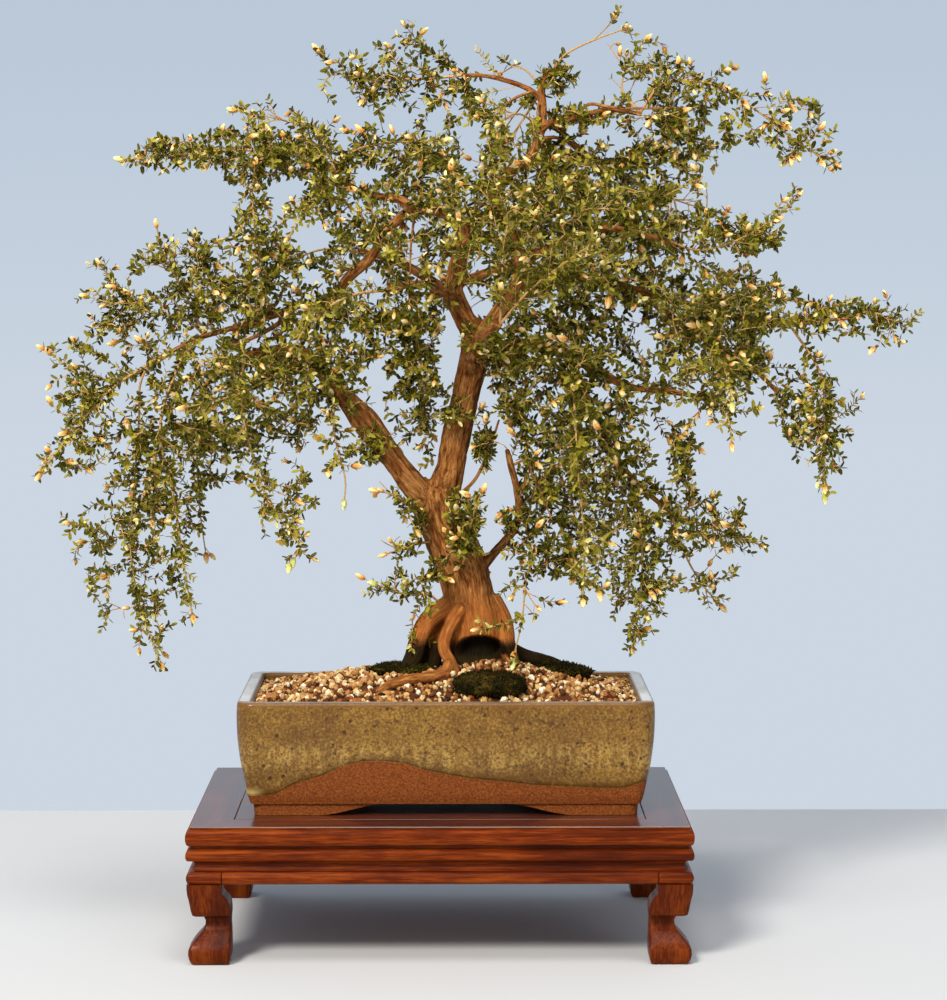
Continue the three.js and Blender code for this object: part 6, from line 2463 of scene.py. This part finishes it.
@dataclass
class Stand:
    """The wooden stand: a panel in a moulded frame, aprons and four shaped legs."""

    frame_width: float = 36.0  # millimetres, as all sizes of the stand
    height: float = 120.0
    leg_inner: float = 27.6
    apron_bottom: float = 70.0
    sharp: float = math.radians(32)

    def build(self) -> list[bpy.types.Object]:
        """Builds and dresses the stand.

        Returns:
            Its pieces with the CAD nodes they stand for in their names.
        """
        low, high = (np.array(corner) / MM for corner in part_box("stand_frame"))
        self.centre = (low[:2] + high[:2]) / 2
        self.half = (high[:2] - low[:2]) / 2 - 3.5
        self.finishes = {grain: LacquerFinish().make(grain) for grain in Grain}
        return [self._panel(), self._frame(), *self._legs(), *self._aprons()]

    def _panel(self) -> bpy.types.Object:
        """The top panel, with softened edges."""
        low, high = (np.array(corner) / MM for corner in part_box("stand_panel"))
        half = (high[:2] - low[:2]) / 2
        rings = []
        for inset, z in ((0.0, low[2]), (0.0, high[2] - 0.6), (0.5, high[2])):
            ring = rounded_ring(half[0] - inset, half[1] - inset, 0.6, steps=(2, 2), arc_steps=2)
            rings.append(np.column_stack([ring[:, :2] + self.centre, np.full(len(ring), z)]))
        return self._piece("stand_panel", np.array(rings), Grain.ALONG_X)

    def _piece(self, node: str, rings: np.ndarray, grain: Grain) -> bpy.types.Object:
        """Makes a piece for a node from rings of points in millimetres."""
        shell = Shell()
        shell.stack(rings * MM)
        piece = piece_from(node + "_lacquered", shell.all_points(), shell.faces)
        piece.data.set_sharp_from_angle(angle=self.sharp)
        piece.data.materials.append(self.finishes[grain])
        return piece

    @staticmethod
    def _round(
        start: tuple[float, float], end: tuple[float, float], bulge: float, steps: int = 8
    ) -> Route:
        """An arc between two points of an outline, that bulges outwards, or inwards below 0."""
        rows = []
        for k in range(steps + 1):
            share = k / steps
            out = start[0] + (end[0] - start[0]) * share + bulge * math.sin(math.pi * share)
            rise = (1 - math.cos(math.pi * share)) / 2
            rows.append((out, start[1] + (end[1] - start[1]) * rise))
        return rows

    def _outline(self) -> Route:
        """The frame's section: reach beyond its top edge and height."""
        inner = -self.frame_width
        return [
            (inner, 119.4), (inner, 110.7), (inner - 6, 110.7), (inner - 6, 81), (-3.5, 81),
            *self._round((-4, 83.4), (-1.6, 90.2), -1.6, 5),
            *self._round((1.2, 90.4), (1.2, 99.8), 2.3),
            (-2.6, 100.4), (-2.6, 103.0),
            *self._round((1.0, 103.6), (1.0, 117.2), 2.6, 10),
            (-0.6, 117.8), (-0.6, 118.3), (0, 118.6), (0, 119.3), (-0.6, 120), (inner + 0.6, 120),
        ]

    def _frame(self) -> bpy.types.Object:
        """The four mitred lengths of the frame, as one piece."""
        outline = self._outline()
        corners = [(-1, -1), (1, -1), (1, 1), (-1, 1)]
        shell = Shell()
        owners = []
        for c, (sx, sy) in enumerate(corners):
            nx, ny = corners[(c + 1) % 4]
            ends = []
            for x, y in ((sx, sy), (nx, ny)):
                ends.append([
                    (self.centre[0] + x * (self.half[0] + out), self.centre[1] + y * (self.half[1] + out), z)
                    for out, z in outline
                ])
            count = len(outline)
            faces = [(j, count + j, count + (j + 1) % count, (j + 1) % count) for j in range(count)]
            shell.add(np.array(ends[0] + ends[1]) * MM, faces)
            owners += [c % 2] * count
        piece = piece_from("stand_frame_lacquered", shell.all_points(), shell.faces)
        piece.data.materials.append(self.finishes[Grain.ALONG_X])
        piece.data.materials.append(self.finishes[Grain.ALONG_Y])
        piece.data.polygons.foreach_set("material_index", owners)
        merge = piece.modifiers.new("merge", "WELD")
        merge.merge_threshold = 0.01 * MM
        settle(piece)
        piece.data.set_sharp_from_angle(angle=self.sharp)
        return piece

    def _moulding(self) -> Route:
        """The rounded moulding of the aprons, which runs on over the legs."""
        return self._round((0.2, 0.3), (0.2, 10.3), 3.1)

    def _legs(self) -> list[bpy.types.Object]:
        """The four legs, each with a foot that flares, a narrow neck and a square block."""
        # Height, outer reach beyond the top's edge and inner reach.
        outline = [
            (0, -2.0, -32.2), (0.6, -0.6, -33.2), (4, 1.0, -34.2), (9, 2.0, -34.5), (13, 1.6, -34.5),
            (18, -1.4, -34.5), (23, -5.6, -34.4), (28, -10.2, -34.2), (32, -12.2, -34.0), (36, -12.4, -34.0),
            (39.6, -10.8, -34.2), (41, -9.4, -34.5), (41.4, -3.4, -34.5), (42.4, -1.6, -34.5),
            (46, -0.6, -34.5), (52, 0.4, -34.0), (56, 1.2, -32.0), (59, 1.9, -29.4),
            (62, 2.5, -self.leg_inner), (66, 2.8, -self.leg_inner), (69.6, 2.8, -self.leg_inner),
            (self.apron_bottom, 0.6, -self.leg_inner),
            *((self.apron_bottom + z, out, -self.leg_inner) for out, z in self._moulding()),
            (80.7, -0.4, -self.leg_inner),
        ]
        sides = {"front_left": (-1, -1), "front_right": (1, -1), "back_right": (1, 1), "back_left": (-1, 1)}
        pieces = []
        for name, (sx, sy) in sides.items():
            rings = []
            for z, out, inner in outline:
                middle = (out + inner) / 2
                ring = rounded_ring((out - inner) / 2, (out - inner) / 2, 2.2, steps=(4, 4), arc_steps=4)
                x = self.centre[0] + sx * (self.half[0] + middle) + ring[:, 0]
                y = self.centre[1] + sy * (self.half[1] + middle) + ring[:, 1]
                rings.append(np.column_stack([x, y, np.full(len(ring), z)]))
            leg = self._piece("stand_leg_" + name, np.array(rings), Grain.UPRIGHT)
            leg.data.materials.append(self.finishes[Grain.ALONG_X])
            for face in leg.data.polygons:
                face.material_index = int(face.center.z > (self.apron_bottom - 0.2) * MM)
            pieces.append(leg)
        return pieces

    def _aprons(self) -> list[bpy.types.Object]:
        """The moulded aprons between the legs."""
        outline = [(-12, 0), (-0.6, 0), *self._moulding(), (-0.4, 10.7), (-12, 10.7)]
        pieces = []
        runs = {"front": (0, -1), "right": (1, 0), "back": (0, 1), "left": (-1, 0)}
        for name, (sx, sy) in runs.items():
            along = self.half[0] if sx == 0 else self.half[1]
            reach = self.half[1] if sx == 0 else self.half[0]
            span = along - self.leg_inner - 0.3
            rings = []
            for share in np.linspace(-1, 1, 3):
                run = share * span * (1 if sy < 0 or sx > 0 else -1)
                ring = []
                for out, z in outline:
                    x = run if sx == 0 else sx * (reach + out)
                    y = sy * (reach + out) if sx == 0 else run
                    ring.append((self.centre[0] + x, self.centre[1] + y, self.apron_bottom + z))
                rings.append(ring)
            grain = Grain.ALONG_X if sx == 0 else Grain.ALONG_Y
            pieces.append(self._piece("stand_apron_" + name, np.array(rings), grain))
        return pieces


# Studio


@dataclass(frozen=True)
class BackdropFinish:
    """Plain matt paper or cloth."""

    name: str
    colour: Colour

    def make(self) -> bpy.types.Material:
        """Builds the material."""
        sheet = Sheet.for_material(self.name)
        return sheet.surface(Base_Color=paint(self.colour), Roughness=0.95, Specular_IOR_Level=0.1)


@dataclass(frozen=True)
class WallFinish:
    """A pale blue wall that is evenly lit, a little darker high up."""

    low: Colour = (203, 214, 226)
    middle: Colour = (204, 214, 226)
    high: Colour = (186, 200, 216)
    unlit: Colour = (6, 6, 6)

    def make(self) -> bpy.types.Material:
        """Builds the material."""
        sheet = Sheet.for_material("wall_paint")
        height = (sheet.parts(sheet.spot())[2] + 0.5) * 0.5
        glow = sheet.ramp(height, (0.1, self.low), (0.37, self.middle), (0.775, self.high))
        return sheet.surface(
            Base_Color=paint(self.unlit),
            Roughness=0.95,
            Specular_IOR_Level=0.0,
            Emission_Color=glow,
            Emission_Strength=1.0,
        )


@dataclass(frozen=True)
class Lamp:
    """A soft light: where it stands, how wide it is and how strong."""

    name: str
    stands: Place
    size: float
    power: float
    colour: Place = (1.0, 1.0, 1.0)


@dataclass
class Studio:
    """The floor, the wall, the lights and the camera.

    The floor ends a little behind the stand. From there the blue sheet drops below the camera's sight
    line to a wall that stands far enough back for a view from behind.
    """

    floor_end: float = 0.59
    wall_distance: float = 3.3
    wall_drop: float = 0.5
    wall_half: float = 20.0
    wall_top: float = 15.0
    lamps: tuple[Lamp, ...] = (
        Lamp("key", (-2.2, -4.4, 4.0), 1.6, 400.0, (1.0, 0.95, 0.86)),
        Lamp("fill", (4.0, -4.8, 2.0), 4.0, 70.0),
        Lamp("top", (0.2, -1.6, 4.4), 2.0, 76.0),
    )
    ambient: float = 0.27
    air: tuple[float, float, float, float] = (0.94, 0.96, 1.0, 1.0)
    aim: Place = (0.0, 0.0, 0.4)

    def build(self) -> None:
        """Sets the studio up."""
        end = self.floor_end
        cloth = BackdropFinish("floor_cloth", (206, 207, 209))
        self._plane("floor", [(-4, -5), (4, -5), (4, end), (-4, end)], cloth)
        self._wall()
        self._lights()
        self._camera()
        view = bpy.context.scene.view_settings
        view.view_transform = "Standard"
        view.look = "None"

    def _plane(self, name: str, corners: list[tuple[float, float]], finish: BackdropFinish) -> None:
        """Lays a flat sheet on the table's level."""
        points = np.array([(x, y, -0.0005) for x, y in corners])
        floor = piece_from(name, points, [(0, 1, 2, 3)], smooth=False)
        floor.data.materials.append(finish.make())

    def _wall(self) -> None:
        """Stands a pale blue wall behind the tree."""
        half = self.wall_half
        back = self.wall_distance
        levels = (self.floor_end, -0.001), (back, -self.wall_drop), (back, self.wall_top)
        points = np.array([(x, y, z) for y, z in levels for x in (-half, half)])
        wall = piece_from("wall", points, [(0, 1, 3, 2), (2, 3, 5, 4)], smooth=False)
        wall.data.materials.append(WallFinish().make())

    def _lights(self) -> None:
        """Hangs the lamps and sets the even light of the room."""
        aim = Vector(self.aim)
        for lamp in self.lamps:
            light = bpy.data.lights.new(lamp.name, "AREA")
            light.shape = "DISK"
            light.size = lamp.size
            light.energy = lamp.power
            light.color = lamp.colour
            holder = bpy.data.objects.new(lamp.name, light)
            holder.location = lamp.stands
            holder.rotation_euler = (aim - Vector(lamp.stands)).to_track_quat("-Z", "Y").to_euler()
            bpy.context.scene.collection.objects.link(holder)
        world = bpy.data.worlds.new("room")
        world.use_nodes = True
        room = world.node_tree.nodes["Background"]
        room.inputs["Color"].default_value = self.air
        room.inputs["Strength"].default_value = self.ambient
        bpy.context.scene.world = world

    def _camera(self) -> None:
        """Puts the camera where the sight line says."""
        camera = bpy.data.cameras.new("camera")
        camera.sensor_width = SIGHT.sensor
        camera.lens = SIGHT.focal * SIGHT.sensor / SIGHT.height
        camera.clip_start = 0.05
        holder = bpy.data.objects.new("camera", camera)
        holder.location = Vector(SIGHT.origin + np.array(SIGHT.eye) * MM)
        tilt, pan = math.radians(SIGHT.down), math.radians(SIGHT.right)
        holder.rotation_euler = (math.pi / 2 - tilt, 0, -pan)
        bpy.context.scene.collection.objects.link(holder)
        bpy.context.scene.camera = holder


# Assembly


def main() -> None:
    """Builds everything in order."""
    logging.basicConfig(level=logging.INFO, format="%(message)s")
    Studio().build()
    hand_over(Wood().build(), "bark", "trunk_and_branches")
    for name, piece in zip(SPRAYS, Foliage().build()):
        hand_over(piece, "leafy_sprays", "spray_" + name)
    pot = Pot()
    hand_over(pot.build(), "stoneware", "pot")
    ground = Ground(pot)
    hand_over(ground.gravel(), "gravel", "gravel")
    for name, piece in zip(LUMPS, ground.lumps()):
        hand_over(piece, "moss", name)
    for piece in Stand().build():
        hand_over(piece, "lacquered_wood", piece.name.removesuffix("_lacquered"))
    dress_node("soil", GroundFinish().make())
    for side in ("left", "right"):
        dress_node("drain_mesh_" + side, MeshFinish().make())


def dress_node(node: str, material: bpy.types.Material) -> None:
    """Gives a CAD node that stays its material."""
    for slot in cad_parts[node].material_slots:
        slot.material = material
    log.info("%s keeps its mesh", node)


if __name__ == "__main__":
    main()
